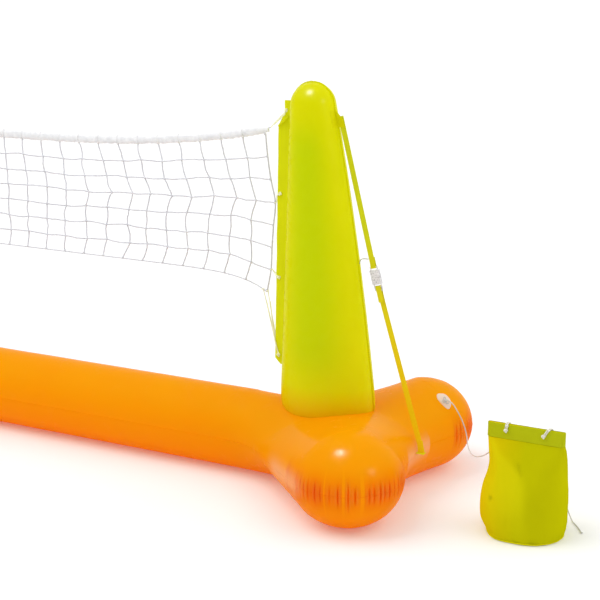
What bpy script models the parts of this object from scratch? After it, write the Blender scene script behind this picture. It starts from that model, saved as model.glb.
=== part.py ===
"""Floating volleyball net: an inflated base, two inflated posts, a sagging net and an anchor bag.

Metres, +Z up. The origin is on the ground under the middle of the beam, +X runs to the right-hand
post and +Y away from the viewer. The left-hand end is the right-hand end turned half a turn.
"""
from math import acos, atan2, cos, pi, radians, sin, tan

import bmesh
import bpy
from mathutils import Matrix, Vector
from mathutils.bvhtree import BVHTree

# Materials in general
GAP = 0.0003                    # clearance kept between touching pieces
CUT_GAP = 0.0004                # the same, where a piece is cut to the base
VINYL = 0.0005                  # sheet that the inflated skins are made of
FLAP_SHEET = 0.0009             # heavier sheet of flaps, straps and tabs
SEAM_LIP = 0.003                # welded strip that stands out of an inflated edge

# Base
BASE_LENGTH = 2.388
BASE_WIDTH = 0.638
BEAM_HALF_WIDTH = 0.093
BEAM_RISE = 0.0940
LOBE_RADIUS = 0.121
LOBE_RISE = 0.107
RISE_START_X = 0.86             # where the beam begins to swell towards its end
JUNCTION_X = 1.020
NOTCH_X = 1.148
FLANK_ANGLE = radians(42)
CROTCH_RADIUS = 0.18
FLOOR_PRESS = 0.003             # how far the ground flattens the underside

# Posts, set out from the ends of the net's tape
NET_TOP_HALF_WIDTH = 0.776
POST_TOP = 0.910
POST_TOP_RADIUS = 0.0505
POST_TOP_X = NET_TOP_HALF_WIDTH + 0.111
POST_FOOT_INNER_X = POST_TOP_X - 0.078
POST_FOOT_OUTER_X = POST_TOP_X + 0.161
POST_FOOT_Z = 0.118             # where the rounded foot would close, inside the base
POST_ROUND_Z = 0.222            # where the sides begin to round in to the foot
POST_OUTER_BULGE = 0.010
POST_FOOT_RISE = 0.078
POST_TOP_RISE = 0.050

# Net
NET_GAPS_ACROSS = 27
NET_GAPS_DOWN = 7
NET_CORD = 0.0024
TAPE_HEIGHT = 0.014
TAPE_DEPTH = 0.0068
TAPE_WALL = 0.0008
TAPE_END_Z = 0.802
TAPE_MIDDLE_Z = 0.746
TAPE_SAG_POWER = 2.9
FOOT_ROPE_END_Z = 0.429
FOOT_ROPE_MIDDLE_Z = 0.467
FOOT_ROPE_POWER = 12.0
ROPE_RADIUS = 0.0016
ROPE_STUB = 0.004               # head rope beyond the sleeve's end
ROPE_LIFT = 0.0025              # the head rope lies high in its sleeve
SIDE_CORD_RADIUS = 0.0020
TIE_RADIUS = 0.0012
NET_WAVE = 0.004                # how far the mesh billows out of its plane
NET_WAVE_COUNT = 5
NET_LEAN_START = 2.2            # how soon from the middle the mesh leans to the post
NET_LEAN = (0.0, 0.011, 0.020, 0.034, 0.020, 0.017, 0.020, 0.004)    # pull to the post, row by row
# Side cord, row by row, out from the tape's end
SIDE_OUT = (-0.008, -0.003, 0.005, 0.016, 0.011, 0.007, 0.004, -0.006)
SIDE_X = [NET_TOP_HALF_WIDTH + out for out in SIDE_OUT]

# Net flap on the inner edge of a post
FLAP_EDGE_Z = (POST_TOP - 0.042, POST_TOP - 0.068, POST_TOP - 0.098, 0.276, 0.262)
FLAP_REACH = (0.0199, 0.0183, 0.0337, 0.0249, 0.0108)       # from the post's seam, corner by corner
FLAP_HOLE_Z = (POST_TOP - 0.064, 0.659, 0.467, 0.284)
FLAP_HOLE_REACH = (0.0145, 0.0230, 0.0199, 0.0152)
TIE_ROWS = (3, 6, 7)            # rows of the net that the ties under the head rope's come from
FLAP_HOLE_RADIUS = 0.0026

# Straps and buckle
STRAP_WIDTH = 0.013
STRAP_TOP_DROP = 0.070          # below the post's top
STRAP_TOP_OUT = 0.0114          # from the post's seam
STRAP_FOOT_X = 1.159
STRAP_TAIL = 0.034
TOP_TAB_Z = (0.018, 0.002, -0.030)     # corners of the upper tab, from the strap's end
TOP_TAB_WIDE = 0.006            # beyond the strap's middle
TOP_TAB_SET = 0.0006            # from the post's seam
FOOT_TAB = 0.0022               # leaf of the strap's lower tab, which is shaped to the seam
FOOT_LEAF_HALF_DEPTH = 0.011
FOOT_LEAF_BACK = 0.0035         # from the notch, over the base
FOOT_UPRIGHT_HALF = 0.008
FOOT_UPRIGHT_TOP = (-0.012, 0.002)
FOOT_UPRIGHT_HEIGHT = 0.030
KEEPER_RADIUS = 0.0008
KEEPER_Z = 0.519
KEEPER_RISE = 0.013             # from the post up to the strap
KEEPER_BOW = (-0.003, -0.004, 0.006)
BUCKLE_CENTRE = (POST_TOP_X + 0.158, 0.484)
BUCKLE_WIDTH = 0.021
BUCKLE_DEPTH = 0.0085
SOCKET_HEIGHT = 0.026
SOCKET_WALL = 0.0012
BUCKLE_BAR = 0.0026
STRAP_SLOT = 0.0048
PLUG_BLOCK = 0.006
PLUG_GAP = 0.0004               # between the plug's block and the socket's mouth
PRONG_LENGTH = 0.0180
PRONG_WIDTH = 0.0024
PRONG_DEPTH = 0.0050
PRONG_HOOK = (0.0005, 0.0035, 0.0006)  # slopes of the hook under, on and above the window
HOOK_INSET = 0.0002             # of the hook, from the socket's side
PRONG_TIP = 0.001
WINDOW_LOW = 0.0100
WINDOW_HIGH = 0.0185
WINDOW_PLAY = 0.0008
STRAP_FOLD = ((0.5, 0.012), (0.95, 0.010), (0.95, 0.022))    # in turns of the bar, and above it
STRAP_LOOP = ((0.6, 0.030), (1.0, 0.012))
STRAP_TAIL_OUT = 0.002

# Valves
VALVE_FLANGE_RADIUS = 0.014
VALVE_FLANGE = 0.0014
VALVE_NECK_RADIUS = 0.0045
VALVE_BORE_RADIUS = 0.0031
VALVE_NECK_OUT = 0.006
VALVE_NECK_IN = 0.012
VALVE_CAP = 0.0016
VALVE_PLUG_RADIUS = 0.0022
VALVE_PLUG = 0.0030
VALVE_HINGE = 0.0095
VALVE_CAP_RIM = (0.001, 0.0006)
HINGE_POST = (-0.0008, 0.0012)  # either side of the hinge's place
HINGE_HALF_WIDTH = 0.002
LEASH_HALF_WIDTH = 0.0018
LEASH_SHORT = 0.003
LEASH_TOP = 0.0004
BASE_VALVE_X = 0.45
BASE_VALVE_TILT = radians(48)
POST_VALVE_Z = 0.330

# Anchor
PATCH_CENTRE = (1.147, 0.160)
PATCH_LENGTH = 0.046
PATCH_WIDTH = 0.044
PATCH_POINT = radians(-60)      # way that the patch's narrow end points
PATCH_NARROWING = 0.22
PATCH_SHEET = 0.0018
CORD_RADIUS = 0.0015
CORD_STEP = 0.009
KNOT_SIZE = 2.2                 # of a tether's knot, in radii of its cord
TIE_KNOT_SIZE = 2.1
BAG_CENTRE = (1.421, -0.070)
BAG_HALF_WIDTH = 0.093
BAG_HALF_DEPTH = 0.080
BAG_HEIGHT = 0.231
# Height, then width and depth as shares of the half sizes
BAG_LEVELS = ((0.0, 0.88, 0.86), (0.006, 0.95, 0.95), (0.030, 1.0, 1.0), (0.075, 1.0, 0.98),
              (0.120, 0.97, 0.80), (0.165, 0.94, 0.50))
BAG_NECK_HALF_WIDTH = 0.084
BAG_NECK_HALF_DEPTH = 0.0045
HEM_HEIGHT = 0.030
HEM_SHEET = 0.001
HEM_HALF_DEPTH = 0.011          # where the hem meets the body
BAG_TIE_X = (-0.040, 0.048)     # the two ties on the hem, from the bag's middle
BAG_TIE_SLANT = (0.002, 0.014)
BAG_TIE_DROP = 0.013
BAG_TIE_BEND = 0.001
BAG_TIE_RADIUS = 0.0014
BAG_KNOT_SIZE = 1.9

# Tether from the patch's knot to the bag's neck
TETHER_ROUTE = (
    (1.151, 0.160, 0.1890), (1.166, 0.154, 0.1800), (1.178, 0.158, 0.1620), (1.190, 0.163, 0.1370),
    (1.1985, 0.166, 0.1120), (1.204, 0.162, 0.0960), (1.209, 0.153, 0.0860), (1.217, 0.141, 0.0790),
    (1.231, 0.122, 0.0755), (1.250, 0.100, 0.0800), (1.275, 0.073, 0.0950), (1.300, 0.045, 0.1170),
    (1.330, 0.010, 0.1500), (1.358, -0.024, 0.1860), (1.372, -0.044, 0.2040),
    (1.378, -0.054, 0.2125), (1.379, -0.0609, 0.2140),
)

# Loose end of the tether, from the bag's neck down behind it to the ground
TAIL_ROUTE = (
    (1.4830, -0.0609, 0.2140), (1.4834, -0.0545, 0.2110), (1.4820, -0.034, 0.1850),
    (1.4760, 0.004, 0.1180), (1.4770, 0.022, 0.0650), (1.4870, 0.030, 0.0240),
    (1.4960, 0.028, 0.0060), (1.5030, 0.020, 0.0018), (1.5120, 0.009, 0.0018),
    (1.5230, -0.006, 0.0018), (1.5325, -0.0215, 0.0018),
)

SHARP_ANGLE = radians(40)
SKIN_ANGLE = radians(50)
ORANGE = (0.93, 0.27, 0.01)
LIME = (0.62, 0.66, 0.0)
PALE_LIME = (0.55, 0.62, 0.03)
WHITE = (0.82, 0.82, 0.82)
CLEAR = (0.85, 0.87, 0.86)


# Helpers

for old in list(bpy.data.objects):
    bpy.data.objects.remove(old, do_unlink=True)

parts = bpy.data.collections.new("floating_volleyball_net")
cutters = bpy.data.collections.new("cutters")
bpy.context.scene.collection.children.link(parts)
bpy.context.scene.collection.children.link(cutters)


def material(name, color, roughness, metallic=0.0):
    made = bpy.data.materials.new(name)
    made.use_nodes = True
    shader = made.node_tree.nodes["Principled BSDF"]
    shader.inputs["Base Color"].default_value = (*color, 1.0)
    shader.inputs["Roughness"].default_value = roughness
    shader.inputs["Metallic"].default_value = metallic
    return made


def add(name, data, parent=None, look=None, collection=parts):
    made = bpy.data.objects.new(name, data)
    collection.objects.link(made)
    made.parent = parent
    if look:
        data.materials.append(look)
    return made


def empty(name, parent=None, matrix=None):
    made = bpy.data.objects.new(name, None)
    parts.objects.link(made)
    made.parent = parent
    if matrix:
        made.matrix_local = matrix
    return made


def mesh_from(name, bm, sharp=SHARP_ANGLE, recalculate=True):
    if recalculate:
        bmesh.ops.recalc_face_normals(bm, faces=bm.faces)
    data = bpy.data.meshes.new(name)
    bm.to_mesh(data)
    bm.free()
    if sharp:
        data.shade_smooth()
        data.set_sharp_from_angle(angle=sharp)
    return data


def skin_mesh(name, bm):
    return mesh_from(name, bm, SKIN_ANGLE, False)


def guide(made):
    made.hide_render = True
    made.display_type = "WIRE"
    return made


def solidify(made, thickness, offset=-1.0):
    shell = made.modifiers.new("sheet", "SOLIDIFY")
    shell.thickness = thickness
    shell.offset = offset
    return made


def boolean(made, tool, operation="DIFFERENCE"):
    step = made.modifiers.new(operation.lower(), "BOOLEAN")
    step.operation = operation
    step.object = tool
    return made


def add_box(bm, low, high):
    size = [high[axis] - low[axis] for axis in range(3)]
    middle = [(high[axis] + low[axis]) / 2 for axis in range(3)]
    place = Matrix.Translation(middle) @ Matrix.Diagonal((*size, 1.0))
    bmesh.ops.create_cube(bm, size=1.0, matrix=place)


def add_cylinder(bm, radius, low, high, sides=24, radius_high=None):
    place = Matrix.Translation((0, 0, (low + high) / 2))
    bmesh.ops.create_cone(bm, cap_ends=True, segments=sides, radius1=radius,
                          radius2=radius_high or radius, depth=high - low, matrix=place)


def boxes(name, *corners, parent=None, look=None, collection=parts):
    bm = bmesh.new()
    for low, high in corners:
        add_box(bm, low, high)
    return add(name, mesh_from(name, bm, sharp=None), parent, look, collection)


def smooth_route(points, step):
    """Points about one step apart on a smooth curve through the given ones."""
    known = [Vector(point) for point in points]
    ends = [known[0] * 2 - known[1]] + known + [known[-1] * 2 - known[-2]]
    route = []
    for before, start, end, after in zip(ends, ends[1:], ends[2:], ends[3:]):
        count = max(1, round((end - start).length / step))
        for index in range(count):
            t = index / count
            route.append(0.5 * (2 * start + (end - before) * t
                                + (2 * before - 5 * start + 4 * end - after) * t * t
                                + (3 * start - before - 3 * end + after) * t ** 3))
    return route + [known[-1]]


def tube(name, route, radius, look, parent=None, sides=2, cyclic=False):
    curve = bpy.data.curves.new(name, "CURVE")
    curve.dimensions = "3D"
    curve.bevel_depth = radius
    curve.bevel_resolution = sides
    curve.use_fill_caps = not cyclic
    spline = curve.splines.new("POLY")
    spline.points.add(len(route) - 1)
    for point, place in zip(spline.points, route):
        point.co = (*place, 1.0)
    spline.use_cyclic_u = cyclic
    return add(name, curve, parent, look)


def ribbon(name, profile, width, thickness, look, parent):
    """A strap: a line of (y, z) points spread across its width and given a thickness."""
    bm = bmesh.new()
    rows = [[bm.verts.new((x, y, z)) for x in (-width / 2, width / 2)] for y, z in profile]
    for row, following in zip(rows, rows[1:]):
        bm.faces.new((row[0], row[1], following[1], following[0]))
    return solidify(add(name, mesh_from(name, bm, sharp=None), parent, look), thickness, 0.0)


def arc(centre, radius, start, end, count):
    return [Vector((centre[0] + radius * cos(start + (end - start) * i / count),
                    centre[1] + radius * sin(start + (end - start) * i / count)))
            for i in range(count + 1)]


def line(start, end, count):
    return [Vector(start).lerp(Vector(end), i / count) for i in range(count + 1)]


def joined(*pieces):
    """One path from pieces that each start where the last one ended."""
    path = list(pieces[0])
    for piece in pieces[1:]:
        path += piece[1:]
    return path


# Base: an edge line in plan, and the ridge line that each of its points rises to

LOBE_CENTRE = Vector((BASE_LENGTH / 2 - LOBE_RADIUS, LOBE_RADIUS - BASE_WIDTH / 2))
JUNCTION = Vector((JUNCTION_X, 0.0))


def base_quarter():
    """The front right quarter: plan points of the edge and the ridge, and the rise of each pair."""
    notch_offset = NOTCH_X - LOBE_CENTRE.x
    notch_radius = ((notch_offset ** 2 + LOBE_CENTRE.y ** 2 - LOBE_RADIUS ** 2)
                    / (2 * (LOBE_RADIUS - notch_offset)))
    notch_centre = Vector((NOTCH_X + notch_radius, 0.0))
    notch_turn = abs(Vector((1, 0)).angle_signed(notch_centre - LOBE_CENTRE))

    flank_end = LOBE_CENTRE - LOBE_RADIUS * Vector((sin(FLANK_ANGLE), cos(FLANK_ANGLE)))
    corner_x = flank_end.x - (-flank_end.y - BEAM_HALF_WIDTH) / tan(FLANK_ANGLE)
    crotch_x = corner_x - CROTCH_RADIUS * tan(FLANK_ANGLE / 2)
    crotch_centre = (crotch_x, -BEAM_HALF_WIDTH - CROTCH_RADIUS)
    crotch = arc(crotch_centre, CROTCH_RADIUS, pi / 2, pi / 2 - FLANK_ANGLE, 3)

    beam = line((0, -BEAM_HALF_WIDTH), (crotch_x, -BEAM_HALF_WIDTH), 4)
    flank = line(crotch[-1], flank_end, 3)
    lobe = arc(LOBE_CENTRE, LOBE_RADIUS, -pi / 2 - FLANK_ANGLE, notch_turn, 9)
    notch = arc(notch_centre, notch_radius, pi + notch_turn, pi, 3)
    edge = joined(beam, crotch, flank, lobe, notch)

    branch = line(JUNCTION, LOBE_CENTRE, 3)
    ridge = joined([Vector((point.x, 0.0)) for point in beam], line((crotch_x, 0), JUNCTION, 3),
                   branch, [LOBE_CENTRE] * len(lobe), list(reversed(branch)))
    return edge, ridge


def base_rise(ridge_point):
    """Half the height of the inflated base over a point of its ridge."""
    return BEAM_RISE + (LOBE_RISE - BEAM_RISE) * abs(ridge_point.y / LOBE_CENTRE.y)


def base_seam(x):
    """The height of the seam above the ground, which climbs from the beam to the lobes."""
    share = min(1.0, max(0.0, (abs(x) - RISE_START_X) / (LOBE_CENTRE.x - RISE_START_X)))
    return BEAM_RISE + (LOBE_RISE - BEAM_RISE) * share * share * (3 - 2 * share) - FLOOR_PRESS


def full_loop(quarter):
    """All four quarters of a plan line, as one closed loop."""
    front = [Vector((-point.x, point.y)) for point in reversed(quarter)][:-1] + list(quarter)
    back = [Vector((-point.x, -point.y)) for point in front]
    return front[:-1] + back[:-1]


def base_rings(side, spread, lift, lip, steps):
    """Rows of points from the ridge out to the edge: side 1 is the top and -1 the underside."""
    edge, ridge = (full_loop(quarter) for quarter in base_quarter())
    count = len(edge)
    turns = [(step * pi / 2 / steps, 0.0) for step in range(steps + 1)]
    if side < 0:
        flat = acos(1 - FLOOR_PRESS / BEAM_RISE)
        turns[1:] = [(flat + (pi / 2 - flat) * step / (steps - 1), 0.0) for step in range(steps)]
    if lip:
        turns.append((pi / 2, lip))
    rings = []
    for turn, reach in turns:
        ring = []
        for index in range(count):
            along = (edge[(index + 1) % count] - edge[index - 1]).normalized()
            outward = Vector((along.y, -along.x))
            place = ridge[index].lerp(edge[index] + outward * (spread + reach), sin(turn))
            rise = base_rise(ridge[index])
            middle = rise - FLOOR_PRESS
            middle += (base_seam(edge[index].x) - middle) * sin(turn) ** 2
            height = middle + side * (rise * cos(turn) + lift)
            ring.append((place.x, place.y, max(height, 0.0) if side < 0 else height))
        rings.append(ring)
    return rings


def skin(rings, closed):
    """Faces between rows of points, with the points that meet on the ridge joined."""
    bm = bmesh.new()
    rows = [[bm.verts.new(point) for point in ring] for ring in rings]
    count = len(rows[0]) if closed else len(rows[0]) - 1
    for row, outer in zip(rows, rows[1:]):
        for index in range(count):
            after = (index + 1) % len(row)
            bm.faces.new((row[index], outer[index], outer[after]))
            bm.faces.new((row[index], outer[after], row[after]))
    bmesh.ops.remove_doubles(bm, verts=bm.verts, dist=1e-5)
    return bm


def base_skin(side, steps=5):
    bm = skin(base_rings(side, 0.0, GAP / 2 + VINYL, SEAM_LIP, steps), closed=True)
    if side < 0:
        bmesh.ops.reverse_faces(bm, faces=bm.faces)
    return bm


def base_envelope(clearance, steps=5):
    """A closed solid just outside the base, which other pieces are cut to."""
    lift = GAP / 2 + VINYL + clearance
    top = base_rings(1, clearance, lift, SEAM_LIP + clearance, steps)
    under = base_rings(-1, clearance, lift, SEAM_LIP + clearance, steps)
    bm = skin(top + list(reversed(under)), closed=True)
    bmesh.ops.recalc_face_normals(bm, faces=bm.faces)
    return bm


orange = material("orange_vinyl", ORANGE, 0.22)
lime = material("lime_vinyl", LIME, 0.25)
flap_lime = material("flap_vinyl", PALE_LIME, 0.35)
strap_lime = material("strap_vinyl", PALE_LIME, 0.40)
white_cord = material("white_cord", WHITE, 0.85)
tape_white = material("tape_fabric", WHITE, 0.90)
clear_plastic = material("buckle_plastic", CLEAR, 0.25)
valve_white = material("valve_vinyl", CLEAR, 0.35)
patch_white = material("patch_vinyl", WHITE, 0.35)

envelope = guide(add("base_envelope", skin_mesh("base_envelope", base_envelope(CUT_GAP)),
                     collection=cutters))
crown = BVHTree.FromBMesh(base_envelope(0.0))


def base_top(x, y):
    """The top of the base under a plan point, and the way that its surface faces."""
    place, normal, _, _ = crown.ray_cast(Vector((x, y, 1.0)), Vector((0, 0, -1)))
    return place, normal


base_top_skin = solidify(add("base_top_skin", skin_mesh("base_top_skin", base_skin(1)), look=orange), VINYL)
solidify(add("base_bottom_skin", skin_mesh("base_bottom_skin", base_skin(-1)), look=orange), VINYL)


# Posts: an edge line in the plane of the net, and the line up the middle that it rises to

def foot_round(z):
    """How much of its full section a post still has where its foot rounds in."""
    down = min(1.0, max(0.0, (POST_ROUND_Z - z) / (POST_ROUND_Z - POST_FOOT_Z)))
    return (1 - down * down) ** 0.5


def post_half():
    """Edge and middle points of a post, from its inner foot over the dome to its outer foot."""
    dome = Vector((POST_TOP_X, POST_TOP - POST_TOP_RADIUS))
    inner_foot = Vector((POST_FOOT_INNER_X, POST_FOOT_Z))
    outer_foot = Vector((POST_FOOT_OUTER_X, POST_FOOT_Z))
    start, end = (atan2(*reversed(foot - dome)) + way * acos(POST_TOP_RADIUS / (foot - dome).length)
                  for foot, way in ((inner_foot, -1), (outer_foot, 1)))
    cap = arc(dome, POST_TOP_RADIUS, start + 2 * pi, end, 9)

    foot_round_z = POST_FOOT_Z + 0.25 * (POST_ROUND_Z - POST_FOOT_Z)
    shares = [(height - POST_FOOT_Z) / (dome.y - POST_FOOT_Z)
              for height in (foot_round_z, (foot_round_z + POST_ROUND_Z) / 2, POST_ROUND_Z)]
    shares += [shares[-1] + (1 - shares[-1]) * step / 4 for step in range(1, 5)]
    inner, outer, middle = [], [], []
    for share in shares:
        low, high = inner_foot.lerp(cap[0], share), outer_foot.lerp(cap[-1], share)
        high.x += POST_OUTER_BULGE * 4 * share * (1 - share)
        centre = (low + high) / 2
        size = foot_round(centre.y)
        inner.append(centre.lerp(low, size))
        outer.append(centre.lerp(high, size))
        middle.append(centre)
    middle[-1] = dome
    edge = joined(inner, cap, list(reversed(outer)))
    return edge, joined(middle, [dome] * len(cap), list(reversed(middle)))


def post_rings(side, grow, lift, lip, steps):
    """Rows of points from a post's middle out to its edge: side -1 is the front, 1 the back."""
    edge, middle = post_half()
    foot, dome = middle[0], middle[len(middle) // 2]
    turns = [(step * pi / 2 / steps, 0.0) for step in range(steps + 1)]
    if lip:
        turns.append((pi / 2, lip))
    rings = []
    for turn, reach in turns:
        ring = []
        for index, (edge_point, middle_point) in enumerate(zip(edge, middle)):
            along = (edge[min(index + 1, len(edge) - 1)] - edge[max(index - 1, 0)]).normalized()
            outward = Vector((-along.y, along.x))
            place = middle_point.lerp(edge_point + outward * (grow + reach), sin(turn))
            share = (middle_point.y - foot.y) / (dome.y - foot.y)
            rise = POST_FOOT_RISE + (POST_TOP_RISE - POST_FOOT_RISE) * share
            rise = rise * foot_round(middle_point.y) + grow
            ring.append((place.x, side * (rise * cos(turn) + lift), place.y))
        rings.append(ring)
    return rings


def post_skin(side, steps=4):
    bm = skin(post_rings(side, 0.0, GAP / 2 + VINYL, SEAM_LIP, steps), closed=False)
    if side < 0:
        bmesh.ops.reverse_faces(bm, faces=bm.faces)
    return bm


def post_solid(grow):
    """The closed body of a post, grown outward from its skins' inner faces by some clearance."""
    front, back = (post_rings(side, grow, 0.0, 0.0, 4) for side in (-1, 1))
    bm = skin(front + list(reversed(back)), closed=False)
    foot = [edge for edge in bm.edges if edge.is_boundary]
    bmesh.ops.holes_fill(bm, edges=foot, sides=0)
    bmesh.ops.recalc_face_normals(bm, faces=bm.faces)
    return bm


def plate(name, outline, low, high, look, parent, collection=parts):
    """A flat sheet: an outline of (x, z) points, from one depth in y to another."""
    bm = bmesh.new()
    face = bm.faces.new([bm.verts.new((x, low, z)) for x, z in outline])
    swept = bmesh.ops.extrude_face_region(bm, geom=[face])
    moved = [item for item in swept["geom"] if isinstance(item, bmesh.types.BMVert)]
    bmesh.ops.translate(bm, verts=moved, vec=(0, high - low, 0))
    return add(name, mesh_from(name, bm, sharp=None), parent, look, collection)


def rod(name, radius, low, high, parent, sides=20, look=None, collection=cutters):
    """A cylinder along its parent's z axis; in the cutters' collection it is only a guide."""
    bm = bmesh.new()
    add_cylinder(bm, radius, low, high, sides)
    made = add(name, mesh_from(name, bm), parent, look, collection)
    return guide(made) if collection is cutters else made


def frame_from(place, up, across=Vector((0, 1, 0))):
    """A frame with its z axis along up and its y axis as near to across as that allows."""
    z = up.normalized()
    x = across.cross(z).normalized()
    y = z.cross(x)
    turn = Matrix((x, y, z)).transposed().to_4x4()
    return Matrix.Translation(place) @ turn


# Valves: a welded flange with a neck, and a cap on a living hinge

def valve(label, skin_object, hull, frame, parent):
    seat = empty(f"{label}_valve_seat", parent, frame)
    boolean(skin_object, rod(f"{label}_valve_hole", VALVE_NECK_RADIUS + GAP, -0.02, 0.02, seat))

    stem = rod(f"{label}_valve_stem", VALVE_FLANGE_RADIUS, -0.004, VALVE_FLANGE, seat, 24,
               valve_white, parts)
    boolean(stem, hull)
    boolean(stem, rod(f"{label}_valve_neck", VALVE_NECK_RADIUS, -VALVE_NECK_IN, VALVE_NECK_OUT, seat),
            "UNION")
    post = boxes(f"{label}_valve_hinge_post",
                 ((-VALVE_HINGE + HINGE_POST[0], -HINGE_HALF_WIDTH, VALVE_FLANGE / 2),
                  (-VALVE_HINGE + HINGE_POST[1], HINGE_HALF_WIDTH, VALVE_NECK_OUT)),
                 parent=seat, collection=cutters)
    boolean(stem, guide(post), "UNION")
    boolean(stem, rod(f"{label}_valve_bore", VALVE_BORE_RADIUS, -0.02, 0.02, seat))

    cap_middle = VALVE_NECK_OUT + GAP + VALVE_CAP / 2
    hinge = empty(f"{label}_valve_hinge", seat, Matrix.Translation((-VALVE_HINGE, 0, cap_middle)))
    bm = bmesh.new()
    centre = Matrix.Translation((VALVE_HINGE, 0, 0))
    low_rim, high_rim = (VALVE_NECK_RADIUS + rim for rim in VALVE_CAP_RIM)
    bmesh.ops.create_cone(bm, cap_ends=True, segments=20, radius1=low_rim, radius2=high_rim,
                          depth=VALVE_CAP, matrix=centre)
    cap = add(f"{label}_valve_cap", mesh_from("valve_cap", bm), hinge, valve_white)
    plug = rod(f"{label}_valve_plug", VALVE_PLUG_RADIUS, -VALVE_CAP / 2 - VALVE_PLUG, 0.0, hinge, 16)
    plug.location.x = VALVE_HINGE
    boolean(cap, plug, "UNION")
    leash = boxes(f"{label}_valve_leash",
                  ((0, -LEASH_HALF_WIDTH, -VALVE_CAP / 2),
                   (VALVE_HINGE - LEASH_SHORT, LEASH_HALF_WIDTH, LEASH_TOP)),
                  parent=hinge, collection=cutters)
    boolean(cap, guide(leash), "UNION")


base_valve_y = BEAM_HALF_WIDTH * sin(BASE_VALVE_TILT)
valve_place, valve_normal = base_top(BASE_VALVE_X, base_valve_y)
valve("base", base_top_skin, envelope, frame_from(valve_place, valve_normal, Vector((0, 0, 1))), None)


# Net: where its cords run, for the right-hand half

def tape_z(x):
    share = min(1.0, abs(x) / NET_TOP_HALF_WIDTH)
    return TAPE_MIDDLE_Z + (TAPE_END_Z - TAPE_MIDDLE_Z) * share ** TAPE_SAG_POWER


def foot_rope_z(x):
    share = min(1.0, abs(x) / SIDE_X[-1])
    return FOOT_ROPE_MIDDLE_Z + (FOOT_ROPE_END_Z - FOOT_ROPE_MIDDLE_Z) * share ** FOOT_ROPE_POWER


def net_knot(column, row):
    """Where a knot of the mesh lies; column 0 is the middle and row 0 the top."""
    half_columns = NET_GAPS_ACROSS / 2
    share = column / half_columns
    side = abs(share)
    border = SIDE_CORD_RADIUS + 2 * GAP + NET_CORD / 2
    reach = SIDE_X[row] - border
    pulled = NET_LEAN[row] * min(1.0, NET_LEAN_START * side)
    free_x = side * (SIDE_X[0] - border) + pulled
    last = max(0.0, abs(column) - half_columns + 1)
    x = free_x * (1 - last) + reach * last
    top = tape_z(x) - TAPE_HEIGHT / 2 - 2 * GAP - NET_CORD / 2
    bottom = foot_rope_z(x) + ROPE_RADIUS + 2 * GAP + NET_CORD / 2
    down = row / NET_GAPS_DOWN
    z = top + (bottom - top) * down
    billow = NET_WAVE * sin(pi * down) * sin(NET_WAVE_COUNT * pi * share + 0.8) * (1 - last)
    return Vector((x if share >= 0 else -x, billow, z))


def net_mesh():
    bm = bmesh.new()
    rows = [[bm.verts.new(net_knot(column, row)) for column in columns]
            for row in range(NET_GAPS_DOWN + 1)]
    for row, below in zip(rows, rows[1:]):
        for index in range(NET_GAPS_ACROSS):
            bm.faces.new((row[index], row[index + 1], below[index + 1], below[index]))
    made = add("net_mesh", mesh_from("net_mesh", bm, sharp=None), look=white_cord)
    cords = made.modifiers.new("cords", "WIREFRAME")
    cords.thickness = NET_CORD
    cords.use_even_offset = False
    cords.use_boundary = True
    return made


def sleeve(name, route, height, depth, wall, look, sides=8):
    """A flattened sleeve with a bore, along a route in the plane of the net."""
    bm = bmesh.new()
    loops = []
    for grow in (0.0, -wall):
        loop_rows = []
        for index, point in enumerate(route):
            along = (route[min(index + 1, len(route) - 1)] - route[max(index - 1, 0)]).normalized()
            up = Vector((-along.z, 0, along.x))
            turns = [2 * pi * side / sides for side in range(sides)]
            loop_rows.append([bm.verts.new(point + up * (height / 2 + grow) * sin(turn)
                                           + Vector((0, (depth / 2 + grow) * cos(turn), 0)))
                              for turn in turns])
        loops.append(loop_rows)
    outer, inner = loops
    for rows in loops:
        for row, following in zip(rows, rows[1:]):
            for side in range(sides):
                after = (side + 1) % sides
                bm.faces.new((row[side], row[after], following[after], following[side]))
    for end in (0, -1):
        for side in range(sides):
            after = (side + 1) % sides
            bm.faces.new((outer[end][side], outer[end][after], inner[end][after], inner[end][side]))
    return add(name, mesh_from(name, bm), look=look)


columns = [index - NET_GAPS_ACROSS / 2 for index in range(NET_GAPS_ACROSS + 1)]
net_mesh()
tape_x = [-NET_TOP_HALF_WIDTH] + [net_knot(column, 0).x for column in columns] + [NET_TOP_HALF_WIDTH]
tape_route = [Vector((x, 0, tape_z(x))) for x in tape_x]
sleeve("net_head_tape", tape_route, TAPE_HEIGHT, TAPE_DEPTH, TAPE_WALL, tape_white)
rope_route = [point + Vector((0, 0, ROPE_LIFT)) for point in tape_route]
head_rope_end = rope_route[-1] + (rope_route[-1] - rope_route[-2]).normalized() * ROPE_STUB
tube("net_head_rope", [Vector((-head_rope_end.x, 0, head_rope_end.z))] + rope_route + [head_rope_end],
     ROPE_RADIUS, white_cord)
foot_x = [net_knot(column, NET_GAPS_DOWN).x for column in columns]
tube("net_foot_rope", [Vector((x, 0, foot_rope_z(x))) for x in foot_x], ROPE_RADIUS, white_cord)


def welded(made):
    """A curve object turned into a mesh with its end caps joined, for a Boolean."""
    data = bpy.data.meshes.new_from_object(made.evaluated_get(bpy.context.evaluated_depsgraph_get()))
    bm = bmesh.new()
    bm.from_mesh(data)
    bmesh.ops.remove_doubles(bm, verts=bm.verts, dist=1e-5)
    bm.to_mesh(data)
    bm.free()
    solid = bpy.data.objects.new(made.name, data)
    name, parent = made.name, made.parent
    bpy.data.objects.remove(made, do_unlink=True)
    parts.objects.link(solid)
    solid.name = name
    solid.parent = parent
    return solid


def ball(name, radius, place, parent):
    bm = bmesh.new()
    bmesh.ops.create_icosphere(bm, subdivisions=1, radius=radius, matrix=Matrix.Translation(place))
    return guide(add(name, mesh_from(name, bm), parent, collection=cutters))


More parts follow.
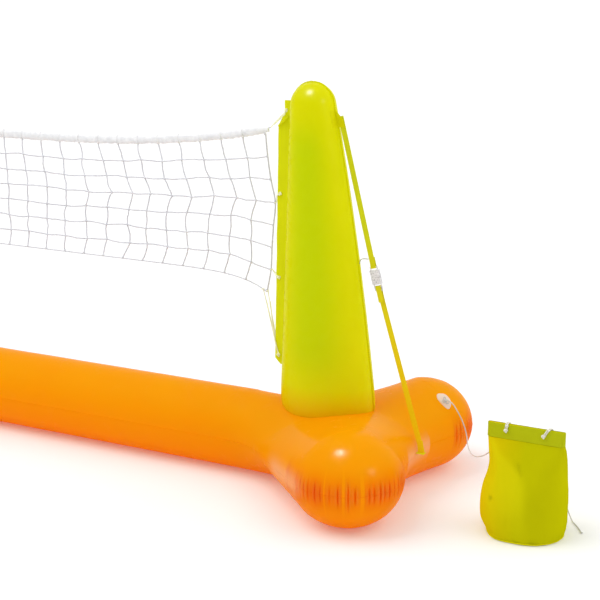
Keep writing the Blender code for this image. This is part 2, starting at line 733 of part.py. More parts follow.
def knotted(name, route, radius, parent):
    """A cord that ends in a knot."""
    cord = welded(tube(name, route, radius, white_cord, parent, sides=1))
    return boolean(cord, ball(f"{name}_knot", TIE_KNOT_SIZE * radius, route[-1], parent), "UNION")


# One end: everything that the post at that end carries

def post_end(label, side):
    shells = []
    for word, way in (("front", -1), ("back", 1)):
        shell = add(f"post_{label}_{word}_skin", skin_mesh(word, post_skin(way)), side, lime)
        shells.append(boolean(solidify(shell, VINYL), envelope))
    hull = guide(add(f"post_{label}_envelope", skin_mesh("hull", post_solid(GAP / 2 + VINYL + GAP)), side,
                     collection=cutters))
    sheet = add(f"post_{label}_foot_sheet", skin_mesh("foot_sheet", post_solid(-2 * GAP)), side, lime)
    boolean(sheet, sheet_envelope, "INTERSECT")
    boolean(sheet, envelope)

    hull_tree = BVHTree.FromBMesh(post_solid(GAP / 2 + VINYL))
    edge, middle = post_half()
    middle_x = POST_TOP_X + (middle[0].x - POST_TOP_X) * (POST_TOP - POST_VALVE_Z) / (POST_TOP - POST_FOOT_Z)
    place, normal, _, _ = hull_tree.ray_cast(Vector((middle_x, 1.0, POST_VALVE_Z)), Vector((0, -1, 0)))
    valve(f"post_{label}", shells[1], hull, frame_from(place, normal, Vector((0, 0, 1))), side)

    net_side(label, side, edge)
    strap_side(label, side, edge)


def edge_x(edge, z, outer):
    """Where a post's seam lies at a height."""
    half = edge[len(edge) // 2:] if outer else edge[:len(edge) // 2]
    for start, end in zip(half, half[1:]):
        low, high = sorted((start, end), key=lambda point: point.y)
        if low.y <= z <= high.y:
            return low.x + (high.x - low.x) * (z - low.y) / (high.y - low.y)
    return half[0].x


def net_side(label, side, edge):
    dome_z = POST_TOP - POST_TOP_RADIUS
    heights = (FLAP_EDGE_Z[-1], dome_z, (dome_z + FLAP_EDGE_Z[0]) / 2, FLAP_EDGE_Z[0])
    inner = [(edge_x(edge, z, False) - SEAM_LIP - 2 * GAP, z) for z in heights]
    outer = [(edge_x(edge, z, False) - reach, z) for reach, z in zip(FLAP_REACH, FLAP_EDGE_Z)]
    holes = [(edge_x(edge, z, False) - reach, z) for reach, z in zip(FLAP_HOLE_REACH, FLAP_HOLE_Z)]
    flap = plate(f"net_flap_{label}", outer + inner, -FLAP_SHEET / 2, FLAP_SHEET / 2, flap_lime, side)
    bm = bmesh.new()
    for x, z in holes:
        place = Matrix.Translation((x, 0, z)) @ Matrix.Rotation(pi / 2, 4, "X")
        bmesh.ops.create_cone(bm, cap_ends=True, segments=16, radius1=FLAP_HOLE_RADIUS,
                              radius2=FLAP_HOLE_RADIUS, depth=0.01, matrix=place)
    punch = add(f"net_flap_{label}_holes", mesh_from("holes", bm), side, collection=cutters)
    boolean(flap, guide(punch))

    rows = [Vector((SIDE_X[row], 0, net_knot(NET_GAPS_ACROSS / 2, row).z))
            for row in range(NET_GAPS_DOWN + 1)]
    tube(f"net_side_cord_{label}", rows, SIDE_CORD_RADIUS, white_cord, side)

    behind_cord = Vector((0, SIDE_CORD_RADIUS + GAP + TIE_RADIUS, 0))
    behind_flap = FLAP_SHEET / 2 + GAP + TIE_RADIUS
    starts = [head_rope_end + Vector((TIE_RADIUS, 0, 0))]
    starts += [rows[row] + behind_cord for row in TIE_ROWS]
    for number, (start, (x, z)) in enumerate(zip(starts, holes), 1):
        lead = start.lerp(Vector((x, 0, z)), 0.35)
        lead.y = behind_flap
        route = [start, lead, Vector((x, behind_flap, z)),
                 Vector((x, -FLAP_SHEET / 2 - TIE_KNOT_SIZE * TIE_RADIUS - GAP, z))]
        knotted(f"net_tie_{number}_{label}", route, TIE_RADIUS, side)


# Strap, buckle and keeper on the outer side of a post

def strap_side(label, side, edge):
    top_z = POST_TOP - STRAP_TOP_DROP
    top = Vector((edge_x(edge, top_z, True) + STRAP_TOP_OUT, 0, top_z))
    centre = Vector((BUCKLE_CENTRE[0], 0, BUCKLE_CENTRE[1]))
    seam_z = base_seam(NOTCH_X)
    seat = Vector((STRAP_FOOT_X, 0, seam_z + GAP / 2 + VINYL + GAP))
    slant = (top - seat).normalized()
    foot = seat + Vector((0, 0, FOOT_TAB + GAP + STRAP_WIDTH / 2 * -slant.x))
    frame = frame_from(centre, top - foot)
    buckle = empty(f"buckle_{label}", side, frame)
    socket_side(label, buckle)
    plug_side(label, buckle)

    bar_round = BUCKLE_BAR / 2 * 2 ** 0.5 + GAP + FLAP_SHEET / 2
    upper_bar = SOCKET_HEIGHT + STRAP_SLOT + BUCKLE_BAR / 2
    upper_up = frame.inverted() @ top
    fold = arc((0, upper_bar), bar_round, pi, 2 * pi, 6)
    (turn_in, turn_rise), *ends = STRAP_FOLD
    profile = [(0.0, upper_up.z), (-bar_round * turn_in, upper_bar + turn_rise)]
    profile += [(point.x, point.y) for point in fold]
    profile += [(bar_round * share, upper_bar + rise) for share, rise in ends]
    upper = ribbon(f"strap_upper_{label}", profile, STRAP_WIDTH, FLAP_SHEET, strap_lime, buckle)
    lean(upper, upper_up, upper_bar)

    lower_foot = frame.inverted() @ foot
    bar = -PLUG_BLOCK - PLUG_GAP - STRAP_SLOT - BUCKLE_BAR / 2
    over = arc((0, bar), bar_round, 0, pi, 6)
    near = STRAP_LOOP[1][1]
    profile = [(0.0, lower_foot.z)] + [(bar_round * share, bar - drop) for share, drop in STRAP_LOOP]
    profile += [(point.x, point.y) for point in over]
    profile += [(-bar_round, bar - near), (-bar_round - STRAP_TAIL_OUT, bar - STRAP_TAIL)]
    lower = ribbon(f"strap_lower_{label}", profile, STRAP_WIDTH, FLAP_SHEET, strap_lime, buckle)
    lean(lower, lower_foot, bar)

    strap_tabs(label, side, edge, top, foot, seat.z)
    keeper(label, side, edge, top, frame @ Vector((0, 0, upper_bar)))


def lean(strap, end, start_z):
    """Slant a strap in its own plane, so that its far end reaches the given place."""
    for vertex in strap.data.vertices:
        share = (vertex.co.z - start_z) / (end.z - start_z)
        vertex.co.x += end.x * max(0.0, share)


def strap_tabs(label, side, edge, top, foot, seat):
    front = -FLAP_SHEET / 2 - GAP - FLAP_SHEET
    heights = [top.z + rise for rise in TOP_TAB_Z]
    inner = [(edge_x(edge, z, True) + TOP_TAB_SET, z) for z in heights]
    down = (foot - top).normalized()
    outer = [(top + down * (top.z - z) / -down.z + Vector((TOP_TAB_WIDE, 0, 0))) for z in heights[1:]]
    plate(f"strap_top_tab_{label}", inner + [(point.x, point.z) for point in reversed(outer)],
          front - GAP, front + FLAP_SHEET - GAP, flap_lime, side)

    back, out = NOTCH_X - FOOT_LEAF_BACK, STRAP_FOOT_X + FOOT_UPRIGHT_HALF
    leaf = plate(f"strap_foot_tab_{label}",
                 [(back, seat), (out, seat), (out, seat + FOOT_TAB), (back, seat + FOOT_TAB)],
                 -FOOT_LEAF_HALF_DEPTH, FOOT_LEAF_HALF_DEPTH, flap_lime, side)
    low, high = seat + FOOT_TAB / 2, seat + FOOT_UPRIGHT_HEIGHT
    narrow, wide = (STRAP_FOOT_X + place for place in FOOT_UPRIGHT_TOP)
    upright = plate(f"strap_foot_upright_{label}",
                    [(STRAP_FOOT_X - FOOT_UPRIGHT_HALF, low), (out, low), (wide, high), (narrow, high)],
                    front, front + FLAP_SHEET, None, side, cutters)
    boolean(leaf, guide(upright), "UNION")
    boolean(leaf, envelope)


def keeper(label, side, edge, top, bar):
    """A thin cord that holds the strap near the post, in an arc from the seam."""
    strap_z = KEEPER_Z + KEEPER_RISE
    strap_x = top.x + (bar.x - top.x) * (top.z - strap_z) / (top.z - bar.z)
    half_level = STRAP_WIDTH / 2 * ((bar.x - top.x) ** 2 / (top.z - bar.z) ** 2 + 1) ** 0.5
    start = Vector((edge_x(edge, KEEPER_Z, True) + SEAM_LIP + 2 * GAP, 0, KEEPER_Z))
    end = Vector((strap_x - half_level - KEEPER_RADIUS / 2 - GAP, 0, strap_z))
    middle = start.lerp(end, 0.45) + Vector(KEEPER_BOW)
    route = smooth_route((start, middle, end), CORD_STEP / 3)
    tube(f"strap_keeper_{label}", route, KEEPER_RADIUS, white_cord, side, 1)


def socket_side(label, buckle):
    """The half with the sleeve: open below for the plug, windows at its sides, a bar above."""
    half, deep = BUCKLE_WIDTH / 2, BUCKLE_DEPTH / 2
    bar_low = SOCKET_HEIGHT + STRAP_SLOT
    socket = boxes(f"buckle_socket_{label}", ((-half, -deep, 0), (half, deep, SOCKET_HEIGHT)),
                   parent=buckle, look=clear_plastic)
    rim = boxes(f"socket_rim_{label}", ((-half + 0.001, -BUCKLE_BAR / 2, SOCKET_HEIGHT - 0.002),
                                        (half - 0.001, BUCKLE_BAR / 2, bar_low + BUCKLE_BAR)),
                parent=buckle, collection=cutters)
    boolean(socket, guide(rim), "UNION")
    wall = SOCKET_WALL
    slot_half = STRAP_WIDTH / 2 + 0.001
    hollow = boxes(f"socket_hollow_{label}",
                   ((-half + wall, -deep + wall, -0.01), (half - wall, deep - wall, SOCKET_HEIGHT - 0.003)),
                   ((-slot_half, -deep, SOCKET_HEIGHT), (slot_half, deep, bar_low)),
                   parent=buckle, collection=cutters)
    boolean(socket, guide(hollow))
    windows = boxes(f"socket_windows_{label}",
                    ((-BUCKLE_WIDTH, -PRONG_DEPTH / 2 - WINDOW_PLAY, WINDOW_LOW),
                     (BUCKLE_WIDTH, PRONG_DEPTH / 2 + WINDOW_PLAY, WINDOW_HIGH)),
                    parent=buckle, collection=cutters)
    boolean(socket, guide(windows))


def plug_side(label, buckle):
    """The half with the prongs: a block, a guide tongue, and a ladder for the strap."""
    half = BUCKLE_WIDTH / 2
    block_high = -PLUG_GAP
    block_low = block_high - PLUG_BLOCK
    ladder_low = block_low - 2 * STRAP_SLOT - 2 * BUCKLE_BAR
    plug = boxes(f"buckle_plug_{label}",
                 ((-half, -BUCKLE_DEPTH / 2, block_low), (half, BUCKLE_DEPTH / 2, block_high)),
                 parent=buckle, look=clear_plastic)
    for word, low, high in (
            ("tongue", (-0.002, -PRONG_DEPTH / 2, block_high - 0.002),
             (0.002, PRONG_DEPTH / 2, PRONG_LENGTH - 0.003)),
            ("ladder", (-half + 0.001, -BUCKLE_BAR / 2, ladder_low),
             (half - 0.001, BUCKLE_BAR / 2, block_low + 0.001))):
        block = boxes(f"plug_{word}_{label}", (low, high), parent=buckle, collection=cutters)
        boolean(plug, guide(block), "UNION")
    slot_half = STRAP_WIDTH / 2 + 0.001
    slots = [((-slot_half, -BUCKLE_DEPTH, block_low - (step + 1) * STRAP_SLOT - step * BUCKLE_BAR),
              (slot_half, BUCKLE_DEPTH, block_low - step * (STRAP_SLOT + BUCKLE_BAR))) for step in (0, 1)]
    boolean(plug, guide(boxes(f"plug_slots_{label}", *slots, parent=buckle, collection=cutters)))

    inner = half - SOCKET_WALL
    for word, way in (("inner", -1), ("outer", 1)):
        pivot_x = inner - 2 * GAP - PRONG_WIDTH / 2
        pivot_place = Matrix.Translation((way * pivot_x, 0, block_high + 2 * GAP))
        pivot = empty(f"prong_pivot_{word}_{label}", buckle, pivot_place)
        reach = half - pivot_x - HOOK_INSET
        side_face = PRONG_WIDTH / 2
        hook_low = WINDOW_LOW + PLUG_GAP
        under, upper, above = PRONG_HOOK
        outline = [(-side_face, 0.0), (side_face, 0.0), (side_face, hook_low), (reach, hook_low + under),
                   (reach, WINDOW_HIGH - upper), (side_face, WINDOW_HIGH - above),
                   (0.0, PRONG_LENGTH + PRONG_TIP), (-side_face, PRONG_LENGTH - PRONG_TIP)]
        if way < 0:
            outline = [(-x, z) for x, z in reversed(outline)]
        plate(f"buckle_prong_{word}_{label}", outline, -PRONG_DEPTH / 2, PRONG_DEPTH / 2,
              clear_plastic, pivot)


# Anchor: patch, tether, bag

def anchor():
    bm = bmesh.new()
    place, normal = base_top(*PATCH_CENTRE)
    outline = []
    for index in range(20):
        turn = 2 * pi * index / 20
        point = 1 - PATCH_NARROWING * (1 + cos(turn - PATCH_POINT)) / 2
        outline.append((cos(turn) * point, sin(turn) * point))
    rows = [[bm.verts.new(base_patch(x * share, y * share)) for x, y in outline] for share in (1.0, 0.5)]
    middle = bm.verts.new(base_patch(0, 0))
    for index in range(len(outline)):
        after = (index + 1) % len(outline)
        bm.faces.new((rows[0][index], rows[0][after], rows[1][after], rows[1][index]))
        bm.faces.new((rows[1][index], rows[1][after], middle))
    patch = solidify(add("anchor_patch", skin_mesh("anchor_patch", bm), look=patch_white), PATCH_SHEET, 1.0)
    boolean(patch, envelope)

    knot_radius = KNOT_SIZE * CORD_RADIUS
    knot_place = place + normal * (PATCH_SHEET + GAP + knot_radius)
    bm = bmesh.new()
    bmesh.ops.create_icosphere(bm, subdivisions=2, radius=knot_radius,
                               matrix=Matrix.Translation(knot_place))
    add("tether_knot", mesh_from("tether_knot", bm), look=white_cord)
    start = knot_place + Vector((1, -0.2, -0.2)).normalized() * (knot_radius + GAP)
    tether = smooth_route((start,) + TETHER_ROUTE[1:], CORD_STEP)
    tube("tether_cord", [clear_of_base(point) for point in tether], CORD_RADIUS, white_cord)
    tail = smooth_route(TAIL_ROUTE, CORD_STEP)
    for point in tail:
        point.z = max(point.z, CORD_RADIUS + GAP)
    tube("tether_tail", tail, CORD_RADIUS, white_cord)
    anchor_bag()


def base_patch(x, y):
    place, _ = base_top(PATCH_CENTRE[0] + x * PATCH_LENGTH / 2, PATCH_CENTRE[1] + y * PATCH_WIDTH / 2)
    return place


def clear_of_base(point):
    """The point itself, or moved out to where a cord lies on the base."""
    near, normal, _, _ = crown.find_nearest(point)
    out = (point - near).dot(normal)
    need = CORD_RADIUS + 2 * GAP
    return point if out > need else near + normal * need


def bag_ring(bm, z, half_width, half_depth, sides=20):
    """A level line round the bag: two flat sides with half-round ends."""
    ring = []
    for index in range(sides):
        turn = 2 * pi * (index + 0.5) / sides
        straight = half_width - half_depth
        x = (straight if cos(turn) > 0 else -straight) + half_depth * cos(turn)
        ring.append(bm.verts.new((BAG_CENTRE[0] + x, BAG_CENTRE[1] + half_depth * sin(turn), z)))
    return ring


def anchor_bag():
    neck = BAG_HEIGHT - HEM_HEIGHT
    bm = bmesh.new()
    rings = [bag_ring(bm, z, BAG_HALF_WIDTH * wide, BAG_HALF_DEPTH * deep) for z, wide, deep in BAG_LEVELS]
    inside = HEM_SHEET + 2 * GAP
    rings.append(bag_ring(bm, neck, BAG_NECK_HALF_WIDTH, HEM_HALF_DEPTH))
    rings.append(bag_ring(bm, neck, BAG_NECK_HALF_WIDTH - inside, HEM_HALF_DEPTH - inside))
    rings.append(bag_ring(bm, BAG_HEIGHT - 2 * GAP, BAG_NECK_HALF_WIDTH - inside,
                          BAG_NECK_HALF_DEPTH - inside))
    for ring, above in zip(rings, rings[1:]):
        for index in range(len(ring)):
            after = (index + 1) % len(ring)
            bm.faces.new((ring[index], ring[after], above[after], above[index]))
    bm.faces.new(rings[0])
    bm.faces.new(rings[-1])
    add("anchor_bag", mesh_from("anchor_bag", bm), look=lime)

    bm = bmesh.new()
    rings = [bag_ring(bm, neck + 2 * GAP, BAG_NECK_HALF_WIDTH, HEM_HALF_DEPTH),
             bag_ring(bm, BAG_HEIGHT, BAG_NECK_HALF_WIDTH, BAG_NECK_HALF_DEPTH)]
    for index in range(len(rings[0])):
        after = (index + 1) % len(rings[0])
        bm.faces.new((rings[0][index], rings[0][after], rings[1][after], rings[1][index]))
    solidify(add("bag_hem", mesh_from("bag_hem", bm), look=flap_lime), HEM_SHEET)

    out = BAG_NECK_HALF_DEPTH + BAG_TIE_RADIUS + 2 * GAP
    spread = (HEM_HALF_DEPTH - BAG_NECK_HALF_DEPTH) * BAG_TIE_DROP / HEM_HEIGHT
    bend = BAG_TIE_BEND
    low, high = BAG_HEIGHT - BAG_TIE_DROP, BAG_HEIGHT + BAG_TIE_RADIUS + 2 * GAP
    for word, x, slant in zip(("left", "right"), BAG_TIE_X, BAG_TIE_SLANT):
        over = [(x - slant, -out - spread, low), (x - slant * 0.2, -out, high - bend),
                (x, -out + bend, high), (x, out - bend, high),
                (x + slant * 0.2, out, high - bend), (x + slant, out + spread, low)]
        route = [Vector((BAG_CENTRE[0], BAG_CENTRE[1], 0)) + Vector(point) for point in over]
        tie = welded(tube(f"bag_tie_{word}", route, BAG_TIE_RADIUS, white_cord, None, 1))
        knot = route[0] + Vector((0, -BAG_TIE_RADIUS * 0.9, 0.001))
        boolean(tie, ball(f"bag_tie_{word}_knot", BAG_KNOT_SIZE * BAG_TIE_RADIUS, knot, None), "UNION")


sheet_envelope = guide(add("sheet_envelope",
                           skin_mesh("sheet_envelope", base_envelope(CUT_GAP + VINYL)),
                           collection=cutters))
for label, turn in (("right", 0.0), ("left", pi)):
    post_end(label, empty(f"{label}_end", matrix=Matrix.Rotation(turn, 4, "Z")))
anchor()
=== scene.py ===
from math import acos, atan2, cos, exp, pi, radians, sin, tan
from random import Random

import bmesh
import bpy
import numpy
from mathutils import Matrix, Vector, noise
from mathutils.bvhtree import BVHTree


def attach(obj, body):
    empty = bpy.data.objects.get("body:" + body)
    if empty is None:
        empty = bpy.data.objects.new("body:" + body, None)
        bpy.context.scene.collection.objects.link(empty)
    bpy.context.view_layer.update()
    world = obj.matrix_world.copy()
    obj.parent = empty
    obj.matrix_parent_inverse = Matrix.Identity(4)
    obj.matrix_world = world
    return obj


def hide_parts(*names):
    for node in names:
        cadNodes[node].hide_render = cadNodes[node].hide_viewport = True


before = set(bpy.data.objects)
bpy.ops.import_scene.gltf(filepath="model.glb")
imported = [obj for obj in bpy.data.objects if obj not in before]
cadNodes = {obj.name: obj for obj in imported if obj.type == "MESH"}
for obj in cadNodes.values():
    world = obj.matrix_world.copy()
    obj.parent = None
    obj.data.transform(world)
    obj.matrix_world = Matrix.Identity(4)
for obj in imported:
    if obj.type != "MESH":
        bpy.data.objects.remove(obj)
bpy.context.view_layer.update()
scene = bpy.context.scene
print("frame loaded:", len(cadNodes), "nodes")

clearance = 0.0003      # kept between touching pieces, as in the CAD
sheetVinyl = 0.0005     # skin of the inflated pieces
flapVinyl = 0.0009      # heavier sheet of flaps, straps and tabs


# Camera, where the photograph was taken from
view = {"place": (2.287, -2.724, 1.195), "yaw": 27.74, "pitch": 14.14, "lens": 84.25}


def placeCamera():
    yaw, pitch = radians(view["yaw"]), radians(view["pitch"])
    forward = Vector((-sin(yaw) * cos(pitch), cos(yaw) * cos(pitch), -sin(pitch)))
    camera = bpy.data.objects.new("photo_camera", bpy.data.cameras.new("photo_camera"))
    scene.collection.objects.link(camera)
    camera.data.sensor_width = 36
    camera.data.lens = view["lens"]
    camera.data.clip_end = 200
    turn = forward.to_track_quat("-Z", "Y").to_matrix().to_4x4()
    camera.matrix_world = Matrix.Translation(view["place"]) @ turn
    scene.camera = camera


placeCamera()


# Finishes

def addNode(tree, kind, **values):
    node = tree.nodes.new(kind)
    for key, value in values.items():
        if key in node.inputs:
            node.inputs[key].default_value = value
        else:
            setattr(node, key, value)
    return node


def mixColours(tree, factor, first, second):
    mix = addNode(tree, "ShaderNodeMix", data_type="RGBA")
    tree.links.new(factor, mix.inputs[0])
    for socket, value in ((mix.inputs[6], first), (mix.inputs[7], second)):
        if isinstance(value, tuple):
            socket.default_value = (*value, 1)
        else:
            tree.links.new(value, socket)
    return mix.outputs[2]


def spread(tree, source, low, high, fromLow=0.3, fromHigh=0.7):
    step = addNode(tree, "ShaderNodeMapRange")
    step.inputs[1].default_value, step.inputs[2].default_value = fromLow, fromHigh
    step.inputs[3].default_value, step.inputs[4].default_value = low, high
    tree.links.new(source, step.inputs[0])
    return step.outputs[0]


def blankFinish(name):
    made = bpy.data.materials.new(name)
    made.use_nodes = True
    tree = made.node_tree
    shader = tree.nodes["Principled BSDF"]
    here = addNode(tree, "ShaderNodeTexCoord").outputs["Object"]
    return made, tree, shader, here


def noiseFrom(tree, here, scale, detail, distortion=0.0):
    made = addNode(tree, "ShaderNodeTexNoise", Scale=scale, Detail=detail, Distortion=distortion)
    tree.links.new(here, made.inputs["Vector"])
    return made.outputs["Fac"]


def bumpFrom(tree, shader, *layers):
    normal = None
    for height, strength, distance in layers:
        bump = addNode(tree, "ShaderNodeBump", Strength=strength, Distance=distance)
        tree.links.new(height, bump.inputs["Height"])
        if normal:
            tree.links.new(normal, bump.inputs["Normal"])
        normal = bump.outputs["Normal"]
    tree.links.new(normal, shader.inputs["Normal"])
    return normal


def vinylFinish(name, colour, shade, gloss, glow, glowColour=None, low=None, marks=(), shine=0.04):
    made, tree, shader, here = blankFinish(name)
    clouds = noiseFrom(tree, here, 5.0, 3.0)
    ripples = noiseFrom(tree, here, 38.0, 2.0, 0.8)
    grain = noiseFrom(tree, here, 700.0, 2.0)
    tint = mixColours(tree, spread(tree, clouds, 0.0, 1.0), colour, shade)
    if low:
        # (colour, axis, from, to): another colour below, or to the left; painted light and shade: redder
        # painted shade low on the base, painted orange bounce light at the posts' feet, a painted lit left
        # side on the bag; the strap is just yellower towards the bottom
        place = addNode(tree, "ShaderNodeSeparateXYZ")
        tree.links.new(here, place.inputs[0])
        tint = mixColours(tree, spread(tree, place.outputs[low[1]], 1.0, 0.0, *low[2:]), tint, low[0])
    for word, other in marks:
        # painted light from the mesh: darker painted shade in creases, folds and shaded bands, paler painted
        # sheen or light where lit
        marked = addNode(tree, "ShaderNodeAttribute", attribute_name=word)
        tint = mixColours(tree, marked.outputs["Fac"], tint, other)
    tree.links.new(tint, shader.inputs["Base Color"])
    tree.links.new(spread(tree, ripples, gloss * 0.8, gloss * 1.3), shader.inputs["Roughness"])
    shader.inputs["Specular IOR Level"].default_value = shine
    shader.inputs["IOR"].default_value = 1.52
    normal = bumpFrom(tree, shader, (ripples, 0.03, 0.001), (grain, 0.05, 0.0002))
    # light passes through the thin sheet
    through = addNode(tree, "ShaderNodeBsdfTranslucent", Color=(*(glowColour or colour), 1))
    tree.links.new(normal, through.inputs["Normal"])
    mix = addNode(tree, "ShaderNodeMixShader")
    mix.inputs[0].default_value = glow
    tree.links.new(shader.outputs[0], mix.inputs[1])
    tree.links.new(through.outputs[0], mix.inputs[2])
    tree.links.new(mix.outputs[0], tree.nodes["Material Output"].inputs["Surface"])
    return made


def clothFinish(name, colour, shade, rough=0.8, weave=1400.0, bump=0.25):
    made, tree, shader, here = blankFinish(name)
    clouds = noiseFrom(tree, here, 90.0, 3.0)
    threads = noiseFrom(tree, here, weave, 2.0)
    tree.links.new(mixColours(tree, spread(tree, clouds, 0.0, 1.0), colour, shade),
                   shader.inputs["Base Color"])
    tree.links.new(spread(tree, threads, rough - 0.12, rough + 0.1), shader.inputs["Roughness"])
    shader.inputs["Sheen Weight"].default_value = 0.25
    shader.inputs["Sheen Roughness"].default_value = 0.5
    bumpFrom(tree, shader, (clouds, 0.2, 0.0006), (threads, bump, 0.0003))
    return made


def clearFinish(name, colour, rough, through):
    made, tree, shader, here = blankFinish(name)
    scuffs = noiseFrom(tree, here, 260.0, 4.0)
    tree.links.new(mixColours(tree, scuffs, colour, tuple(part * 0.94 for part in colour)),
                   shader.inputs["Base Color"])
    tree.links.new(spread(tree, scuffs, rough * 0.7, rough * 1.4), shader.inputs["Roughness"])
    shader.inputs["Transmission Weight"].default_value = through
    shader.inputs["IOR"].default_value = 1.49
    bumpFrom(tree, shader, (scuffs, 0.08, 0.0003))
    return made


# painted shade: redder towards the floor, in the pucker valleys and in the band along the lobes' seam;
# painted sheen: paler in the crotches, the notches and on the pucker ridges
orangeVinyl = vinylFinish("orange_vinyl", (0.98, 0.60, 0.002), (0.97, 0.54, 0.002), 0.22, 0.48,
                          (1.0, 0.42, 0.01), ((0.96, 0.40, 0.002), 2, 0.02, 0.16),
                          (("fold", (0.72, 0.07, 0.002)), ("paintedSheen", (1.0, 0.74, 0.34))))
# painted light: orange bounce from the base at the post's foot; painted shade: a darker band down the middle
# of each face
limeVinyl = vinylFinish("lime_vinyl", (0.95, 0.86, 0.001), (0.89, 0.83, 0.001), 0.27, 0.25,
                        (0.66, 0.84, 0.001), ((1.0, 0.42, 0.002), 2, 0.15, 0.24),
                        (("paintedShadeBand", (0.70, 0.78, 0.001)),))
# painted light: yellower on the left and paler on the lit facet and foot rim; painted shade: darker in the
# creases
bagVinyl = vinylFinish("bag_vinyl", (0.64, 0.62, 0.002), (0.56, 0.55, 0.002), 0.4, 0.15, None,
                       ((0.86, 0.62, 0.002), 0, 1.33, 1.43),
                       (("creaseShade", (0.30, 0.27, 0.002)), ("lit", (0.90, 0.84, 0.006))), 0.0)
flapLime = vinylFinish("flap_vinyl", (0.87, 0.88, 0.006), (0.80, 0.82, 0.005), 0.38, 0.25)
hemLime = vinylFinish("hem_vinyl", (0.56, 0.60, 0.010), (0.52, 0.56, 0.008), 0.38, 0.1, shine=0.0)
strapLime = vinylFinish("strap_vinyl", (0.78, 0.80, 0.016), (0.72, 0.74, 0.012), 0.42, 0.1, None,
                        ((1.0, 0.74, 0.008), 2, 0.24, 0.60), shine=0.03)
whiteCord = clothFinish("white_cord", (0.74, 0.73, 0.70), (0.60, 0.59, 0.56))
keeperCord = clothFinish("keeper_cord", (0.50, 0.52, 0.22), (0.42, 0.44, 0.16))
netCord = clothFinish("net_cord", (0.70, 0.70, 0.75), (0.60, 0.60, 0.65))
tieCord = clothFinish("tie_cord", (1.0, 1.0, 0.70), (0.92, 0.92, 0.56))
tieWhite = clothFinish("bag_tie_cord", (0.90, 0.88, 0.78), (0.72, 0.70, 0.56))
tapeFabric = clothFinish("tape_fabric", (0.95, 0.95, 0.96), (0.82, 0.82, 0.84), 0.85, 900.0, 0.35)
clearPlastic = clearFinish("buckle_plastic", (0.92, 0.90, 0.90), 0.3, 0.3)
valveVinyl = clearFinish("valve_vinyl", (0.88, 0.90, 0.86), 0.3, 0.35)
patchVinyl = vinylFinish("patch_vinyl", (1.0, 0.84, 0.70), (0.96, 0.86, 0.76), 0.35, 0.2)
print("finishes made")


# Helpers for shapes

def newPiece(name, data, finish, body="root", replaced=(), smooth=45):
    piece = bpy.data.objects.new(name, data)
    scene.collection.objects.link(piece)
    if finish and not data.materials:
        data.materials.append(finish)
    data.shade_smooth()
    if smooth:
        data.set_sharp_from_angle(angle=radians(smooth))
    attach(piece, body)
    if replaced:
        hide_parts(*replaced)
    return piece


def dataFrom(name, bm, turn=None, recalculate=True):
    if recalculate:
        bmesh.ops.recalc_face_normals(bm, faces=bm.faces)
    data = bpy.data.meshes.new(name)
    bm.to_mesh(data)
    bm.free()
    if turn:
        data.transform(turn)
    return data


def arcPoints(centre, radius, start, end, count):
    return [Vector((centre[0] + radius * cos(start + (end - start) * step / count),
                    centre[1] + radius * sin(start + (end - start) * step / count)))
            for step in range(count + 1)]


def linePoints(start, end, count):
    return [Vector(start).lerp(Vector(end), step / count) for step in range(count + 1)]


def chain(*pieces):
    path = list(pieces[0])
    for piece in pieces[1:]:
        path += piece[1:]
    return path


def easing(share):
    share = min(1.0, max(0.0, share))
    return share * share * (3 - 2 * share)


def smoothRoute(points, step):
    known = [Vector(point) for point in points]
    ends = [known[0] * 2 - known[1]] + known + [known[-1] * 2 - known[-2]]
    route = []
    for before, start, end, after in zip(ends, ends[1:], ends[2:], ends[3:]):
        count = max(1, round((end - start).length / step))
        for index in range(count):
            t = index / count
            route.append(0.5 * (2 * start + (end - before) * t
                                + (2 * before - 5 * start + 4 * end - after) * t * t
                                + (3 * start - before - 3 * end + after) * t ** 3))
    return route + [known[-1]]


def evenRoute(points, step):
    lengths = [0.0]
    for start, end in zip(points, points[1:]):
        lengths.append(lengths[-1] + (end - start).length)
    count = max(2, round(lengths[-1] / step))
    route, at = [], 0
    for index in range(count + 1):
        want = lengths[-1] * index / count
        while at < len(points) - 2 and lengths[at + 1] < want:
            at += 1
        share = (want - lengths[at]) / max(1e-9, lengths[at + 1] - lengths[at])
        route.append(points[at].lerp(points[at + 1], min(1.0, share)))
    return route


def routeFrames(route, side=None):
    tangents = [(route[min(i + 1, len(route) - 1)] - route[max(i - 1, 0)]).normalized()
                for i in range(len(route))]
    across = side or tangents[0].orthogonal()
    frames = []
    for tangent in tangents:
        across = (across - tangent * across.dot(tangent)).normalized()
        frames.append((tangent, across, tangent.cross(across)))
    return frames


def loftRings(bm, rings, capped=True):
    rows = [[bm.verts.new(point) for point in ring] for ring in rings]
    sides = len(rows[0])
    for row, following in zip(rows, rows[1:]):
        for index in range(sides):
            after = (index + 1) % sides
            bm.faces.new((row[index], row[after], following[after], following[index]))
    if capped:
        bm.faces.new(list(reversed(rows[0])))
        bm.faces.new(rows[-1])
    return rows


def addTube(bm, route, radius, sides, side=None):
    rings = []
    for index, (point, (_, across, over)) in enumerate(zip(route, routeFrames(route, side))):
        wide = radius(index / (len(route) - 1)) if callable(radius) else radius
        rings.append([point + (across * cos(2 * pi * k / sides) + over * sin(2 * pi * k / sides)) * wide
                      for k in range(sides)])
    loftRings(bm, rings)


def addTwist(bm, route, radius, pitch, strands=3, sides=5, step=None, loose=0.0, seed=0):
    # strands wound round the route; loose lets them stray from it a little
    route = evenRoute(route, step or pitch / 7)
    frames = routeFrames(route)
    length = sum((end - start).length for start, end in zip(route, route[1:]))
    strandRadius = radius * (0.54 if strands == 3 else 0.5)
    offset = radius - strandRadius
    for strand in range(strands):
        line = []
        for index, (point, (_, across, over)) in enumerate(zip(route, frames)):
            along = length * index / (len(route) - 1)
            turn = 2 * pi * (along / pitch + strand / strands)
            stray = 1 + loose * noise.noise(Vector((along * 160, strand * 7.3, seed)))
            line.append(point + (across * cos(turn) + over * sin(turn)) * offset * stray)
        addTube(bm, line, strandRadius, sides)


